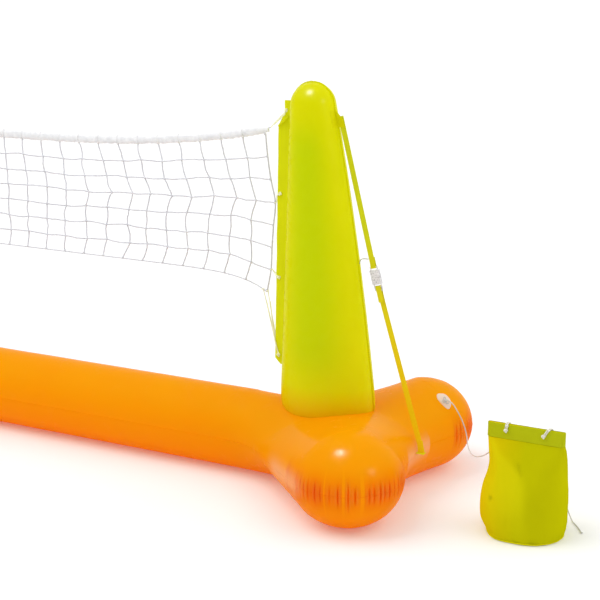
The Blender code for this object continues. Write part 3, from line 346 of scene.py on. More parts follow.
def addKnot(bm, centre, size, cordRadius, turn, steps=44, sides=6, flat=1.0):
    # an overhand knot; flat lays its loops down
    line = []
    for index in range(steps + 1):
        t = 2 * pi * index / steps
        point = Vector((sin(t) + 2 * sin(2 * t), cos(t) - 2 * cos(2 * t), -1.3 * flat * sin(3 * t)))
        line.append(Vector(centre) + turn @ (point * (size - cordRadius) / 3))
    addTube(bm, line, cordRadius, sides)


def ropePiece(name, route, radius, pitch, replaced, turn=None, finish=netCord, **more):
    bm = bmesh.new()
    addTwist(bm, route, radius, pitch, **more)
    return newPiece(name, dataFrom(name, bm, turn), finish, replaced=replaced, smooth=None)


def setInputs(modifier, **values):
    for item in modifier.node_group.interface.items_tree:
        if item.item_type == "SOCKET" and item.in_out == "INPUT" and item.name in values:
            modifier[item.identifier] = values[item.name]


def newTree(name, *inputs):
    tree = bpy.data.node_groups.new(name, "GeometryNodeTree")
    tree.interface.new_socket("Geometry", in_out="INPUT", socket_type="NodeSocketGeometry")
    for word, kind, value in inputs:
        socket = tree.interface.new_socket(word, in_out="INPUT", socket_type=kind)
        if kind != "NodeSocketMaterial":
            socket.default_value = value
    tree.interface.new_socket("Geometry", in_out="OUTPUT", socket_type="NodeSocketGeometry")
    return tree, tree.nodes.new("NodeGroupInput"), tree.nodes.new("NodeGroupOutput")


def settled(carrier, tree, name, **values):
    # the evaluated result of a node tree, as a plain mesh
    modifier = carrier.modifiers.new(tree.name, "NODES")
    modifier.node_group = tree
    setInputs(modifier, **values)
    scene.view_layers[0].update()
    graph = bpy.context.evaluated_depsgraph_get()
    data = bpy.data.meshes.new_from_object(carrier.evaluated_get(graph))
    data.name = name
    carrier.modifiers.remove(modifier)
    bpy.data.objects.remove(carrier, do_unlink=True)
    return data


def carrierFrom(name, points, edges=(), **marks):
    data = bpy.data.meshes.new(name)
    data.from_pydata([tuple(point) for point in points], list(edges), [])
    for word, (kind, key, values) in marks.items():
        layer = data.attributes.new(word, kind, "POINT")
        for item, value in zip(layer.data, values):
            setattr(item, key, value)
    carrier = bpy.data.objects.new(name, data)
    scene.collection.objects.link(carrier)
    return carrier


# Base
base = {
    "length": 2.388, "width": 0.638, "beamHalfWidth": 0.093, "beamRise": 0.094, "lobeRadius": 0.121,
    "lobeRise": 0.107, "riseStart": 0.86, "junction": 1.020, "notch": 1.148, "flank": radians(42),
    "crotchRadius": 0.18, "floorPress": 0.003, "lip": 0.0008, "rows": 22, "undulation": 0.0007,
    "puckerFirst": radians(-152), "puckerGaps": ((-118, 4.4), (-96, 9.0), (-50, 12.0), (-36, 5.6)),
    "shadeBandWidth": 0.034, "sheenBandWidth": 0.021, "crotchReach": 0.13, "seed": 5,
    "blend": 0.022, "cell": 0.004, "blendFrom": 0.72, "blendOver": 0.12, "smoothings": 20,
    "crownX": (0.66, 1.34), "crownY": (-0.44, 0.44),
}
lobeCentre = Vector((base["length"] / 2 - base["lobeRadius"], base["lobeRadius"] - base["width"] / 2))
notchOffset = base["notch"] - lobeCentre.x
notchRadius = ((notchOffset ** 2 + lobeCentre.y ** 2 - base["lobeRadius"] ** 2)
               / (2 * (base["lobeRadius"] - notchOffset)))
notchCentre = Vector((base["notch"] + notchRadius, 0.0))
notchTurn = abs(Vector((1, 0)).angle_signed(notchCentre - lobeCentre))
branchWay = (lobeCentre - Vector((base["junction"], 0.0))).normalized()


def baseQuarter():
    flank, wide = base["flank"], base["beamHalfWidth"]
    flankEnd = lobeCentre - base["lobeRadius"] * Vector((sin(flank), cos(flank)))
    corner = flankEnd.x - (-flankEnd.y - wide) / tan(flank)
    crotchX = corner - base["crotchRadius"] * tan(flank / 2)
    crotch = arcPoints((crotchX, -wide - base["crotchRadius"]), base["crotchRadius"], pi / 2,
                       pi / 2 - flank, 30)
    beamLine = linePoints((0, -wide), (crotchX, -wide), 56)
    flankLine = linePoints(crotch[-1], flankEnd, 50)
    lobe = arcPoints(lobeCentre, base["lobeRadius"], -pi / 2 - flank, notchTurn, 250)
    notch = arcPoints(notchCentre, notchRadius, pi + notchTurn, pi, 50)
    junction = Vector((base["junction"], 0.0))
    branch = linePoints(junction, lobeCentre, 50)
    back = linePoints(lobeCentre, junction, 50)
    ridge = chain([Vector((point.x, 0.0)) for point in beamLine],
                  linePoints((crotchX, 0), junction, 30), branch, [lobeCentre] * len(lobe), back)
    return chain(beamLine, crotch, flankLine, lobe, notch), ridge


def fullLoop(quarter):
    front = [Vector((-point.x, point.y)) for point in reversed(quarter)][:-1] + list(quarter)
    return front[:-1] + [Vector((-point.x, -point.y)) for point in front][:-1]


def baseSeam(x):
    share = (abs(x) - base["riseStart"]) / (lobeCentre.x - base["riseStart"])
    return base["beamRise"] + (base["lobeRise"] - base["beamRise"]) * easing(share) - base["floorPress"]


def puckerList(seed):
    # valleys that run in from the lobe's seam, closer together where it turns out of the crotch
    rng = Random(seed)
    found, angle = [], base["puckerFirst"]
    known = base["puckerGaps"]
    while angle < notchTurn:
        gap = float(numpy.interp(angle * 180 / pi, [at for at, _ in known], [gap for _, gap in known]))
        found.append((angle, rng.uniform(0.0026, 0.0056), rng.uniform(0.0014, 0.0025),
                      rng.uniform(0.026, 0.046)))
        angle += radians(gap) * rng.uniform(0.6, 1.4)
    return found


def basePuckers(point, lists):
    # (depth, reach) of each valley that touches a point of the edge
    quarter = (0 if point.x > 0 else 1) + (0 if point.y < 0 else 2)
    folded = Vector((abs(point.x), -abs(point.y))) - lobeCentre
    if folded.length > base["lobeRadius"] + 0.012:
        return []
    angle = atan2(folded.y, folded.x)
    if angle > notchTurn + 0.3:
        angle -= 2 * pi
    found = []
    for at, depth, wide, reach in lists[quarter]:
        away = (angle - at) * base["lobeRadius"] / wide
        if abs(away) < 5:
            found.append((depth * (exp(-away * away) - 0.35 * exp(-away * away / 6)), reach))
    return found


def pressedIn(touching, away):
    total = 0.0
    for depth, reach in touching:
        total += depth * (0.75 + 0.25 * min(1.0, away / 0.008)) * (1 - easing(away / reach))
    return total


def baseRings():
    edge, ridge = (fullLoop(quarter) for quarter in baseQuarter())
    lists = [puckerList(base["seed"] + quarter) for quarter in range(4)]
    count = len(edge)
    touching = [basePuckers(point, lists) for point in edge]
    turns = [pi / 2 * (1 - (1 - step / base["rows"]) ** 1.25) for step in range(base["rows"] + 1)]
    flat = acos(1 - base["floorPress"] / base["beamRise"])
    under = [flat + (pi / 2 - flat) * (1 - (1 - step / base["rows"]) ** 1.25)
             for step in range(base["rows"] + 1)]
    levels = [(turn, 1, 0.0) for turn in turns] + [(pi / 2, 1, base["lip"]), (pi / 2, -1, base["lip"])]
    levels += [(turn, -1, 0.0) for turn in reversed(under)] + [(0.0, -1, 0.0)]
    rings, folds, paintedSheens = [], [], []
    crotchPlace = lobeCentre.x - base["crotchReach"]
    for turn, side, reach in levels:
        ring, fold, paintedSheen = [], [], []
        for index in range(count):
            along = (edge[(index + 1) % count] - edge[index - 1]).normalized()
            outward = Vector((along.y, -along.x))
            place = ridge[index].lerp(edge[index] + outward * reach, sin(turn))
            rise = base["beamRise"]
            rise += (base["lobeRise"] - rise) * abs(ridge[index].y / lobeCentre.y)
            middle = rise - base["floorPress"]
            middle += (baseSeam(edge[index].x) - middle) * sin(turn) ** 2
            height = side * (rise * cos(turn) + (0.0003 if reach else 0.0006))
            fromSeam = (pi / 2 - turn) * rise
            pressed = pressedIn(touching[index], fromSeam)
            # painted shade: a darker band along the seam where the lobes pucker, darker still in each
            # pucker's valley
            paintedShadeBand = exp(-(fromSeam / base["shadeBandWidth"]) ** 2) if touching[index] else 0.0
            paintedShadeBand *= 1 + 0.7 * noise.noise(Vector((place.x * 26, place.y * 26, 6)))
            fold.append(min(1.0, max(0.0, pressed / 0.0046) + 0.62 * max(0.0, paintedShadeBand)))
            # painted sheen: paler near the seam in the crotches and notches, and on the ridges between
            # puckers
            inCrotch = min(1.0, max(0.0, 1 - abs(abs(place.x) - crotchPlace) / 0.09))
            inNotch = easing((abs(place.x) - base["notch"] + 0.012) / 0.010) * (abs(place.y) < 0.06)
            crotchSheen = max(easing(inCrotch * 1.6), inNotch) * exp(-(fromSeam / base["sheenBandWidth"]) ** 2)
            paintedSheen.append(min(1.0, 0.85 * crotchSheen + 0.16 * max(0.0, -pressed / 0.0012)))
            pressed += base["undulation"] * noise.noise(Vector((place.x * 9, place.y * 9, side * 3)))
            facing = Vector((outward.x * sin(turn), outward.y * sin(turn), side * cos(turn)))
            point = Vector((place.x, place.y, middle + height)) - facing * pressed * (sin(turn) ** 0.5)
            ring.append((point.x, point.y, max(point.z, 0.0) if side < 0 else point.z))
        rings.append(ring)
        folds.append(fold)
        paintedSheens.append(paintedSheen)
    return rings, {"fold": folds, "paintedSheen": paintedSheens}


def skinRows(rings, closed, marks):
    bm = bmesh.new()
    for word in marks:
        bm.verts.layers.float.new(word)
    rows = [[bm.verts.new(point) for point in ring] for ring in rings]
    for word, values in marks.items():
        layer = bm.verts.layers.float[word]
        for row, part in zip(rows, values):
            for vert, value in zip(row, part):
                vert[layer] = value
    count = len(rows[0]) if closed else len(rows[0]) - 1
    for row, outer in zip(rows, rows[1:]):
        for index in range(count):
            after = (index + 1) % len(row)
            bm.faces.new((row[index], outer[index], outer[after], row[after]))
    bmesh.ops.remove_doubles(bm, verts=bm.verts, dist=1e-5)
    bmesh.ops.dissolve_degenerate(bm, edges=bm.edges, dist=1e-6)
    return bm


def crownGrid(bm):
    tree = BVHTree.FromBMesh(bm)
    xs, ys = (numpy.arange(*base[word], base["cell"]) for word in ("crownX", "crownY"))
    heights = numpy.full((len(xs), len(ys)), base["beamRise"])
    for i, x in enumerate(xs):
        for j, y in enumerate(ys):
            hit = tree.ray_cast(Vector((x, y, 1.0)), Vector((0, 0, -1)))[0]
            if hit:
                heights[i, j] = hit.z
    return xs, ys, heights


def easeTop(bm):
    # the air inside evens out the ridges where the lobes join the beam
    xs, ys, heights = crownGrid(bm)
    moved = []
    for vert in bm.verts:
        x, y, z = vert.co
        seam = baseSeam(x)
        if abs(x) < base["blendFrom"] or z < seam + 0.01:
            continue
        nearX = numpy.exp(-0.5 * ((xs - abs(x)) / base["blend"]) ** 2)
        nearY = numpy.exp(-0.5 * ((ys - (y if x > 0 else -y)) / base["blend"]) ** 2)
        level = nearX @ heights @ nearY / (nearX.sum() * nearY.sum())
        beyond = (Vector((abs(x), -abs(y))) - lobeCentre).dot(branchWay)
        held = easing((z - seam - 0.02) / 0.07) * (1 - easing((beyond + 0.07) / 0.14))
        held *= easing((abs(x) - base["blendFrom"]) / base["blendOver"])
        vert.co.z += (level - z) * held
        if held > 0.01:
            moved.append(vert)
    for _ in range(base["smoothings"]):
        bmesh.ops.smooth_vert(bm, verts=moved, factor=0.5, use_axis_z=True)


skinRings, skinMarks = baseRings()
baseBm = skinRows(skinRings, True, skinMarks)
easeTop(baseBm)
bmesh.ops.recalc_face_normals(baseBm, faces=baseBm.faces)
baseCrown = BVHTree.FromBMesh(baseBm)
newPiece("inflated_base", dataFrom("inflated_base", baseBm), orangeVinyl,
         replaced=("base_top_skin", "base_bottom_skin"))


def baseTop(x, y):
    place, normal, _, _ = baseCrown.ray_cast(Vector((x, y, 1.0)), Vector((0, 0, -1)))
    return place, normal


def clearOfBase(point, need):
    near, normal, _, _ = baseCrown.find_nearest(point)
    away = point - near
    if away.dot(normal) < 0:
        return near + normal * need
    return point if away.length > need else near + away.normalized() * need


print("base made")


# Anchor's cord: from the knot on the patch to the bag's neck, and its loose end
tether = {
    "radius": 0.0015, "pitch": 0.0085,
    "route": (
        (1.151, 0.160, 0.1890), (1.166, 0.154, 0.1800), (1.178, 0.158, 0.1620), (1.190, 0.163, 0.1370),
        (1.1985, 0.166, 0.1120), (1.204, 0.162, 0.0960), (1.209, 0.153, 0.0860), (1.217, 0.141, 0.0790),
        (1.231, 0.122, 0.0755), (1.250, 0.100, 0.0800), (1.275, 0.073, 0.0950), (1.300, 0.045, 0.1170),
        (1.330, 0.010, 0.1500), (1.358, -0.024, 0.1860), (1.372, -0.044, 0.2040),
        (1.378, -0.054, 0.2125), (1.379, -0.0609, 0.2140)),
    "tail": (
        (1.4830, -0.0609, 0.2140), (1.4834, -0.0545, 0.2110), (1.4820, -0.034, 0.1850),
        (1.4760, 0.004, 0.1180), (1.4770, 0.022, 0.0650), (1.4870, 0.030, 0.0240),
        (1.4960, 0.028, 0.0060), (1.5030, 0.020, 0.0018), (1.5120, 0.009, 0.0018),
        (1.5230, -0.006, 0.0018), (1.5325, -0.0215, 0.0018)),
    "fray": 0.009,
}
patch = {"centre": (1.147, 0.160), "shift": (-0.003, 0.003), "length": 0.038, "width": 0.035,
         "point": radians(-40), "sheet": 0.0018, "sides": 60}


def makeTether():
    radius = tether["radius"]
    place, normal = baseTop(*patch["centre"])
    knotRadius = 2.2 * radius
    knotPlace = place + normal * (patch["sheet"] + clearance + knotRadius)
    start = knotPlace + Vector((1, -0.2, -0.2)).normalized() * (knotRadius * 0.7)
    line = smoothRoute((start,) + tether["route"][1:], 0.004)
    for _ in range(4):
        line = [clearOfBase(point, radius + 2 * clearance) for point in line]
        inner = [(before + point * 2 + after) / 4
                 for before, point, after in zip(line, line[1:], line[2:])]
        line = [line[0]] + inner + [line[-1]]
    bm = bmesh.new()
    addTwist(bm, line, radius, tether["pitch"], sides=6)
    cordPiece = newPiece("anchor_cord", dataFrom("anchor_cord", bm), whiteCord,
                         replaced=("tether_cord",), smooth=None)
    bm = bmesh.new()
    lie = normal.to_track_quat("Z", "Y").to_matrix()
    addKnot(bm, knotPlace, knotRadius * 1.2, radius * 0.85, lie)
    flatLie = lie @ Matrix.Rotation(0.7, 3, "Z")
    addKnot(bm, knotPlace - normal * 0.0012, 0.0105, radius * 0.6, flatLie, 60, 5, 0.3)
    newPiece("anchor_knot", dataFrom("anchor_knot", bm), whiteCord,
             replaced=("tether_knot",), smooth=None)

    tail = smoothRoute(tether["tail"], 0.004)
    for point in tail:
        point.z = max(point.z, radius + clearance)
    bm = bmesh.new()
    addTwist(bm, tail, radius, tether["pitch"], sides=6)
    tailPiece = newPiece("anchor_cord_tail", dataFrom("anchor_cord_tail", bm), whiteCord,
                         replaced=("tether_tail",), smooth=None)
    # the cut end has come apart into its yarns
    bm = bmesh.new()
    way = (tail[-1] - tail[-2]).normalized()
    aside = Vector((-way.y, way.x, 0))
    for strand in range(-3, 4):
        out = way * tether["fray"] + aside * strand * 0.0009 + Vector((0, 0, 0.0012 * (strand % 2)))
        line = [tail[-1] - way * 0.002 + aside * strand * 0.0002, tail[-1] + out * 0.5, tail[-1] + out]
        addTube(bm, smoothRoute(line, 0.002), 0.0006, 5)
    fray = newPiece("anchor_cord_fray", dataFrom("anchor_cord_fray", bm), whiteCord,
                    smooth=None)


makeTether()
print("cords made")


# Posts
post = {
    "top": 0.910, "topRadius": 0.0505, "topX": 0.887, "footInner": 0.809, "footOuter": 1.048,
    "footZ": 0.118, "roundZ": 0.222, "bulge": 0.010, "footRise": 0.078, "topRise": 0.050,
    "lip": 0.003, "rows": 17, "undulation": 0.0005, "capSteps": 48, "sideSteps": 70,
}


def footRound(z):
    down = min(1.0, max(0.0, (post["roundZ"] - z) / (post["roundZ"] - post["footZ"])))
    return (1 - down ** 3) ** (1 / 2.6)


def postHalf():
    dome = Vector((post["topX"], post["top"] - post["topRadius"]))
    innerFoot = Vector((post["footInner"], post["footZ"]))
    outerFoot = Vector((post["footOuter"], post["footZ"]))
    start, end = (atan2(*reversed(foot - dome)) + way * acos(post["topRadius"] / (foot - dome).length)
                  for foot, way in ((innerFoot, -1), (outerFoot, 1)))
    cap = arcPoints(dome, post["topRadius"], start + 2 * pi, end, post["capSteps"])
    lowest = post["footZ"] + 0.25 * (post["roundZ"] - post["footZ"])
    count = post["sideSteps"]
    inner, outer, middle = [], [], []
    for step in range(count + 1):
        z = lowest + (dome.y - lowest) * (step / count) ** 1.15
        share = (z - post["footZ"]) / (dome.y - post["footZ"])
        low, high = innerFoot.lerp(cap[0], share), outerFoot.lerp(cap[-1], share)
        high.x += post["bulge"] * 4 * share * (1 - share)
        centre = (low + high) / 2
        size = footRound(centre.y)
        inner.append(centre.lerp(low, size))
        outer.append(centre.lerp(high, size))
        middle.append(centre)
    middle[-1] = dome
    return (chain(inner, cap, list(reversed(outer))),
            chain(middle, [dome] * len(cap), list(reversed(middle))))


def postRings(seed):
    edge, middle = postHalf()
    rng = Random(seed)
    dome = middle[len(middle) // 2]
    # short valleys round the dome: (angle, depth, width, length)
    valleys = [(rng.uniform(0.05, 0.95) * pi, rng.uniform(0.0004, 0.0010), rng.uniform(0.0016, 0.0026),
                rng.uniform(0.012, 0.024)) for _ in range(9)]
    rows = post["rows"]
    turns = [pi / 2 * (1 - (1 - step / rows) ** 1.2) for step in range(rows + 1)]
    levels = [(turn, -1, 0.0) for turn in turns] + [(pi / 2, -1, post["lip"]), (pi / 2, 1, post["lip"])]
    levels += [(turn, 1, 0.0) for turn in reversed(turns)]
    rings, paintedShadeBands = [], []
    for turn, side, reach in levels:
        ring = []
        # painted shade: a darker band down the middle of each face, between the foot and the dome
        paintedShadeBands.append([easing(1.1 - turn / (pi / 2) * 1.6) * easing((0.86 - place.y) / 0.10)
                      * easing((place.y - 0.20) / 0.14) for place in middle])
        for index, (edgePoint, middlePoint) in enumerate(zip(edge, middle)):
            along = (edge[min(index + 1, len(edge) - 1)] - edge[max(index - 1, 0)]).normalized()
            outward = Vector((-along.y, along.x))
            place = middlePoint.lerp(edgePoint + outward * reach, sin(turn))
            share = (middlePoint.y - middle[0].y) / (dome.y - middle[0].y)
            rise = post["footRise"] + (post["topRise"] - post["footRise"]) * share
            rise *= footRound(middlePoint.y)
            away = (pi / 2 - turn) * rise
            pressed = post["undulation"] * noise.noise(Vector((place.x * 14, side * 5 + seed, place.y * 7)))
            if edgePoint.y > dome.y:
                angle = atan2(edgePoint.y - dome.y, edgePoint.x - dome.x)
                for at, depth, wide, length in valleys:
                    off = (angle - at) * post["topRadius"] / wide
                    if abs(off) < 4:
                        pressed += depth * exp(-off * off) * (1 - easing(away / length))
            facing = Vector((outward.x * sin(turn), side * cos(turn), outward.y * sin(turn)))
            point = Vector((place.x, side * (rise * cos(turn) + (0.0004 if reach else 0.0006)), place.y))
            ring.append(point - facing * pressed * sin(turn))
        rings.append(ring)
    return rings, {"paintedShadeBand": paintedShadeBands}


def postBody(label, turn, seed):
    rings, marks = postRings(seed)
    bm = skinRows(rings, False, marks)
    foot = [edge for edge in bm.edges if edge.is_boundary]
    bmesh.ops.holes_fill(bm, edges=foot, sides=0)
    bmesh.ops.recalc_face_normals(bm, faces=bm.faces)
    tree = BVHTree.FromBMesh(bm)
    name = f"post_{label}_body"
    newPiece(name, dataFrom(name, bm, turn), limeVinyl,
             replaced=[f"post_{label}_{word}" for word in ("front_skin", "back_skin", "foot_sheet")])
    return tree


postEdge = postHalf()[0]


def edgeX(z, outer):
    half = postEdge[len(postEdge) // 2:] if outer else postEdge[:len(postEdge) // 2]
    for start, end in zip(half, half[1:]):
        low, high = sorted((start, end), key=lambda point: point.y)
        if low.y <= z <= high.y:
            return low.x + (high.x - low.x) * (z - low.y) / max(1e-9, high.y - low.y)
    return half[0].x


# Net
net = {
    "across": 27, "down": 7, "topHalf": 0.776, "cordRadius": 0.0016, "knotRadius": 0.0026,
    "tapeHeight": 0.0185, "tapeDepth": 0.0084, "tapeEndZ": 0.802, "tapeMiddleZ": 0.746, "sagPower": 2.9,
    "footEndZ": 0.429, "footMiddleZ": 0.467, "footPower": 12.0, "ropeRadius": 0.0016, "stub": 0.004,
    "sideRadius": 0.0020, "tieRadius": 0.0012, "wave": 0.004,
    "lean": (0.0, 0.011, 0.020, 0.034, 0.020, 0.017, 0.020, 0.004),
    "sideOut": (-0.008, -0.003, 0.005, 0.016, 0.011, 0.007, 0.004, -0.006),
    "kink": 0.0028, "seed": 11, "ropeLift": 0.00252, "tapeSteps": 620, "tapeSides": 18,
}
sideX = [net["topHalf"] + out for out in net["sideOut"]]


def tapeZ(x):
    share = min(1.0, abs(x) / net["topHalf"])
    return net["tapeMiddleZ"] + (net["tapeEndZ"] - net["tapeMiddleZ"]) * share ** net["sagPower"]


def footRopeZ(x):
    share = min(1.0, abs(x) / sideX[-1])
    return net["footMiddleZ"] + (net["footEndZ"] - net["footMiddleZ"]) * share ** net["footPower"]


def netKnot(column, row):
    share = column / (net["across"] / 2)
    side = abs(share)
    border = net["sideRadius"] * 0.8
    pulled = net["lean"][row] * min(1.0, 2.2 * side)
    freeX = side * (sideX[0] - border) + pulled
    held = max(0.0, abs(column) - net["across"] / 2 + 1)
    x = freeX * (1 - held) + (sideX[row] - border) * held
    top = tapeZ(x) - net["tapeHeight"] / 2
    bottom = footRopeZ(x) + net["ropeRadius"] + clearance
    down = row / net["down"]
    billow = net["wave"] * sin(pi * down) * sin(5 * pi * share + 0.8) * (1 - held)
    return Vector((x if share >= 0 else -x, billow, top + (bottom - top) * down))


def netTree():
    tree, given, result = newTree(
        "netCords", ("Cord radius", "NodeSocketFloat", 0.001), ("Knot radius", "NodeSocketFloat", 0.002),
        ("Seed", "NodeSocketInt", 1), ("Finish", "NodeSocketMaterial", None))
    link = tree.links.new
    line = addNode(tree, "GeometryNodeMeshToCurve")
    round_ = addNode(tree, "GeometryNodeCurvePrimitiveCircle", Resolution=6)
    cords = addNode(tree, "GeometryNodeCurveToMesh")
    cords.inputs["Fill Caps"].default_value = True
    link(given.outputs["Geometry"], line.inputs[0])
    link(given.outputs["Cord radius"], round_.inputs["Radius"])
    link(line.outputs[0], cords.inputs[0])
    link(round_.outputs[0], cords.inputs[1])
    marked = addNode(tree, "GeometryNodeInputNamedAttribute", data_type="BOOLEAN", Name="knot")
    ball = addNode(tree, "GeometryNodeMeshIcoSphere", Subdivisions=2)
    link(given.outputs["Knot radius"], ball.inputs["Radius"])
    size = addNode(tree, "FunctionNodeRandomValue", data_type="FLOAT_VECTOR")
    size.inputs[0].default_value, size.inputs[1].default_value = (0.8, 0.8, 0.75), (1.3, 1.1, 1.45)
    link(given.outputs["Seed"], size.inputs["Seed"])
    knots = addNode(tree, "GeometryNodeInstanceOnPoints")
    link(given.outputs["Geometry"], knots.inputs["Points"])
    link(marked.outputs["Attribute"], knots.inputs["Selection"])
    link(ball.outputs[0], knots.inputs["Instance"])
    link(size.outputs[0], knots.inputs["Scale"])
    both = addNode(tree, "GeometryNodeJoinGeometry")
    link(cords.outputs[0], both.inputs[0])
    link(knots.outputs[0], both.inputs[0])
    real = addNode(tree, "GeometryNodeRealizeInstances")
    link(both.outputs[0], real.inputs[0])
    dressed = addNode(tree, "GeometryNodeSetMaterial")
    link(real.outputs[0], dressed.inputs[0])
    link(given.outputs["Finish"], dressed.inputs["Material"])
    link(dressed.outputs[0], result.inputs[0])
    return tree


def makeNetMesh():
    rng = Random(net["seed"])
    kink = net["kink"]
    last = net["across"]
    points, edges, knots, at = [], [], [], {}

    def jitter(size):
        return Vector((rng.uniform(-size, size), rng.uniform(-size, size), rng.uniform(-size, size)))

    for row in range(net["down"] + 1):
        for column in range(last + 1):
            inner = 0 < row < net["down"] and 0 < column < last
            at[column, row] = len(points)
            points.append(netKnot(column - last / 2, row) + (jitter(kink) if inner else Vector()))
            knots.append(True)
    for (column, row), index in list(at.items()):
        for other in ((column + 1, row), (column, row + 1)):
            # the tape, the rope at the foot and the side cords are pieces of their own
            upright = other[0] == column
            onRim = column in (0, last) if upright else row in (0, net["down"])
            if other not in at or onRim:
                continue
            start, end = points[index], points[at[other]]
            bow = jitter(kink * 0.9)
            before = index
            for step in (1, 2, 3):
                share = step / 4
                points.append(start.lerp(end, share) + bow * 4 * share * (1 - share) + jitter(kink * 0.25))
                knots.append(False)
                edges.append((before, len(points) - 1))
                before = len(points) - 1
            edges.append((before, at[other]))
    carrier = carrierFrom("net_lines", points, edges, knot=("BOOLEAN", "value", knots))
    data = settled(carrier, netTree(), "net_cords", **{
        "Cord radius": net["cordRadius"], "Knot radius": net["knotRadius"], "Seed": net["seed"],
        "Finish": netCord})
    newPiece("net_cords", data, netCord, replaced=("net_mesh",), smooth=None)


def gather(along, angle):
    # folds across the tape, where the rope inside draws it together
    folds = noise.noise(Vector((along * 130, cos(angle) * 0.7, sin(angle) * 0.7)))
    slow = noise.noise(Vector((along * 45, 3.1, sin(angle))))
    return 1 + 0.17 * folds + 0.16 * slow


def makeTape():
    half = net["topHalf"]
    count, sides = net["tapeSteps"], net["tapeSides"]
    line = [Vector((-half + 2 * half * step / count, 0, 0)) for step in range(count + 1)]
    for point in line:
        point.z = tapeZ(point.x)
    bm = bmesh.new()
    rings = []
    for index, point in enumerate(line):
        along = (line[min(index + 1, count)] - line[max(index - 1, 0)]).normalized()
        up = Vector((-along.z, 0, along.x))
        toEnd = min(index, count - index) / count * 2 * half
        close = 0.66 + 0.34 * easing(toEnd / 0.035)
        sway = Vector((0, 0.0012 * noise.noise(Vector((point.x * 30, 7, 1))), 0))
        ring = []
        for side in range(sides):
            angle = 2 * pi * side / sides
            size = gather(point.x, angle) * close
            ring.append(point + sway + up * (net["tapeHeight"] / 2 * sin(angle) * size)
                        + Vector((0, net["tapeDepth"] / 2 * cos(angle) * size, 0)))
        rings.append(ring)
    loftRings(bm, rings)
    newPiece("net_tape", dataFrom("net_tape", bm), tapeFabric,
             replaced=("net_head_tape",), smooth=None)


def loopTree():
    tree, given, result = newTree(
        "tapeLoops", ("Cord radius", "NodeSocketFloat", 0.001), ("Height", "NodeSocketFloat", 0.015),
        ("Depth", "NodeSocketFloat", 0.007), ("Seed", "NodeSocketInt", 1),
        ("Finish", "NodeSocketMaterial", None))
    link = tree.links.new
    ring = addNode(tree, "GeometryNodeCurvePrimitiveCircle", Resolution=20)
    ring.inputs["Radius"].default_value = 0.5
    shape = addNode(tree, "GeometryNodeTransform")
    shape.inputs["Rotation"].default_value = (pi / 2, 0, pi / 2)
    size = addNode(tree, "ShaderNodeCombineXYZ")
    link(given.outputs["Depth"], size.inputs[0])
    link(given.outputs["Height"], size.inputs[1])
    size.inputs[2].default_value = 1.0
    link(ring.outputs[0], shape.inputs["Geometry"])
    link(size.outputs[0], shape.inputs["Scale"])
    round_ = addNode(tree, "GeometryNodeCurvePrimitiveCircle", Resolution=6)
    link(given.outputs["Cord radius"], round_.inputs["Radius"])
    loop = addNode(tree, "GeometryNodeCurveToMesh")
    link(shape.outputs[0], loop.inputs[0])
    link(round_.outputs[0], loop.inputs[1])
    along = addNode(tree, "GeometryNodeInputNamedAttribute", data_type="FLOAT_VECTOR", Name="along")
    facing = addNode(tree, "FunctionNodeAlignRotationToVector", axis="X")
    link(along.outputs["Attribute"], facing.inputs["Vector"])
    vary = addNode(tree, "FunctionNodeRandomValue", data_type="FLOAT_VECTOR")
    vary.inputs[0].default_value, vary.inputs[1].default_value = (1, 0.92, 0.94), (1, 1.12, 1.10)
    link(given.outputs["Seed"], vary.inputs["Seed"])
    loops = addNode(tree, "GeometryNodeInstanceOnPoints")
    link(given.outputs["Geometry"], loops.inputs["Points"])
    link(loop.outputs[0], loops.inputs["Instance"])
    link(facing.outputs[0], loops.inputs["Rotation"])
    link(vary.outputs[0], loops.inputs["Scale"])
    real = addNode(tree, "GeometryNodeRealizeInstances")
    link(loops.outputs[0], real.inputs[0])
    dressed = addNode(tree, "GeometryNodeSetMaterial")
    link(real.outputs[0], dressed.inputs[0])
    link(given.outputs["Finish"], dressed.inputs["Material"])
    link(dressed.outputs[0], result.inputs[0])
    return tree


def makeTapeLoops():
    points = []
    for column in range(1, net["across"]):
        x = netKnot(column - net["across"] / 2, 0).x
        points.append(Vector((x, 0, tapeZ(x))))
    along = [(Vector((point.x + 0.01, 0, tapeZ(point.x + 0.01))) - point).normalized() for point in points]
    carrier = carrierFrom("loop_places", points, along=("FLOAT_VECTOR", "vector", along))
    data = settled(carrier, loopTree(), "net_tape_loops", **{
        "Cord radius": 0.0012, "Height": net["tapeHeight"] + 0.0016, "Depth": net["tapeDepth"] + 0.0024,
        "Seed": net["seed"], "Finish": tapeFabric})
    newPiece("net_tape_loops", data, tapeFabric, smooth=None)


def headRopeEnd():
    end = Vector((net["topHalf"], 0, tapeZ(net["topHalf"]) + net["ropeLift"]))
    before = Vector((net["topHalf"] - 0.02, 0, tapeZ(net["topHalf"] - 0.02) + net["ropeLift"]))
    return end + (end - before).normalized() * net["stub"]


def makeRopes():
    end = headRopeEnd()
    line = [Vector((end.x * share / 40, 0, 0)) for share in range(-40, 41)]
    for point in line:
        point.z = tapeZ(min(abs(point.x), net["topHalf"])) + net["ropeLift"]
    line[0], line[-1] = Vector((-end.x, 0, end.z)), end
    ropePiece("head_rope", line, net["ropeRadius"], 0.009, ("net_head_rope",), step=0.003, sides=4)
    reach = netKnot(net["across"] / 2, net["down"]).x
    line = [Vector((reach * share / 60, 0, footRopeZ(reach * share / 60))) for share in range(-60, 61)]
    ropePiece("foot_rope", line, net["ropeRadius"], 0.009, ("net_foot_rope",), step=0.0022, loose=0.3)


makeNetMesh()
makeTape()
makeTapeLoops()
makeRopes()
print("net made")


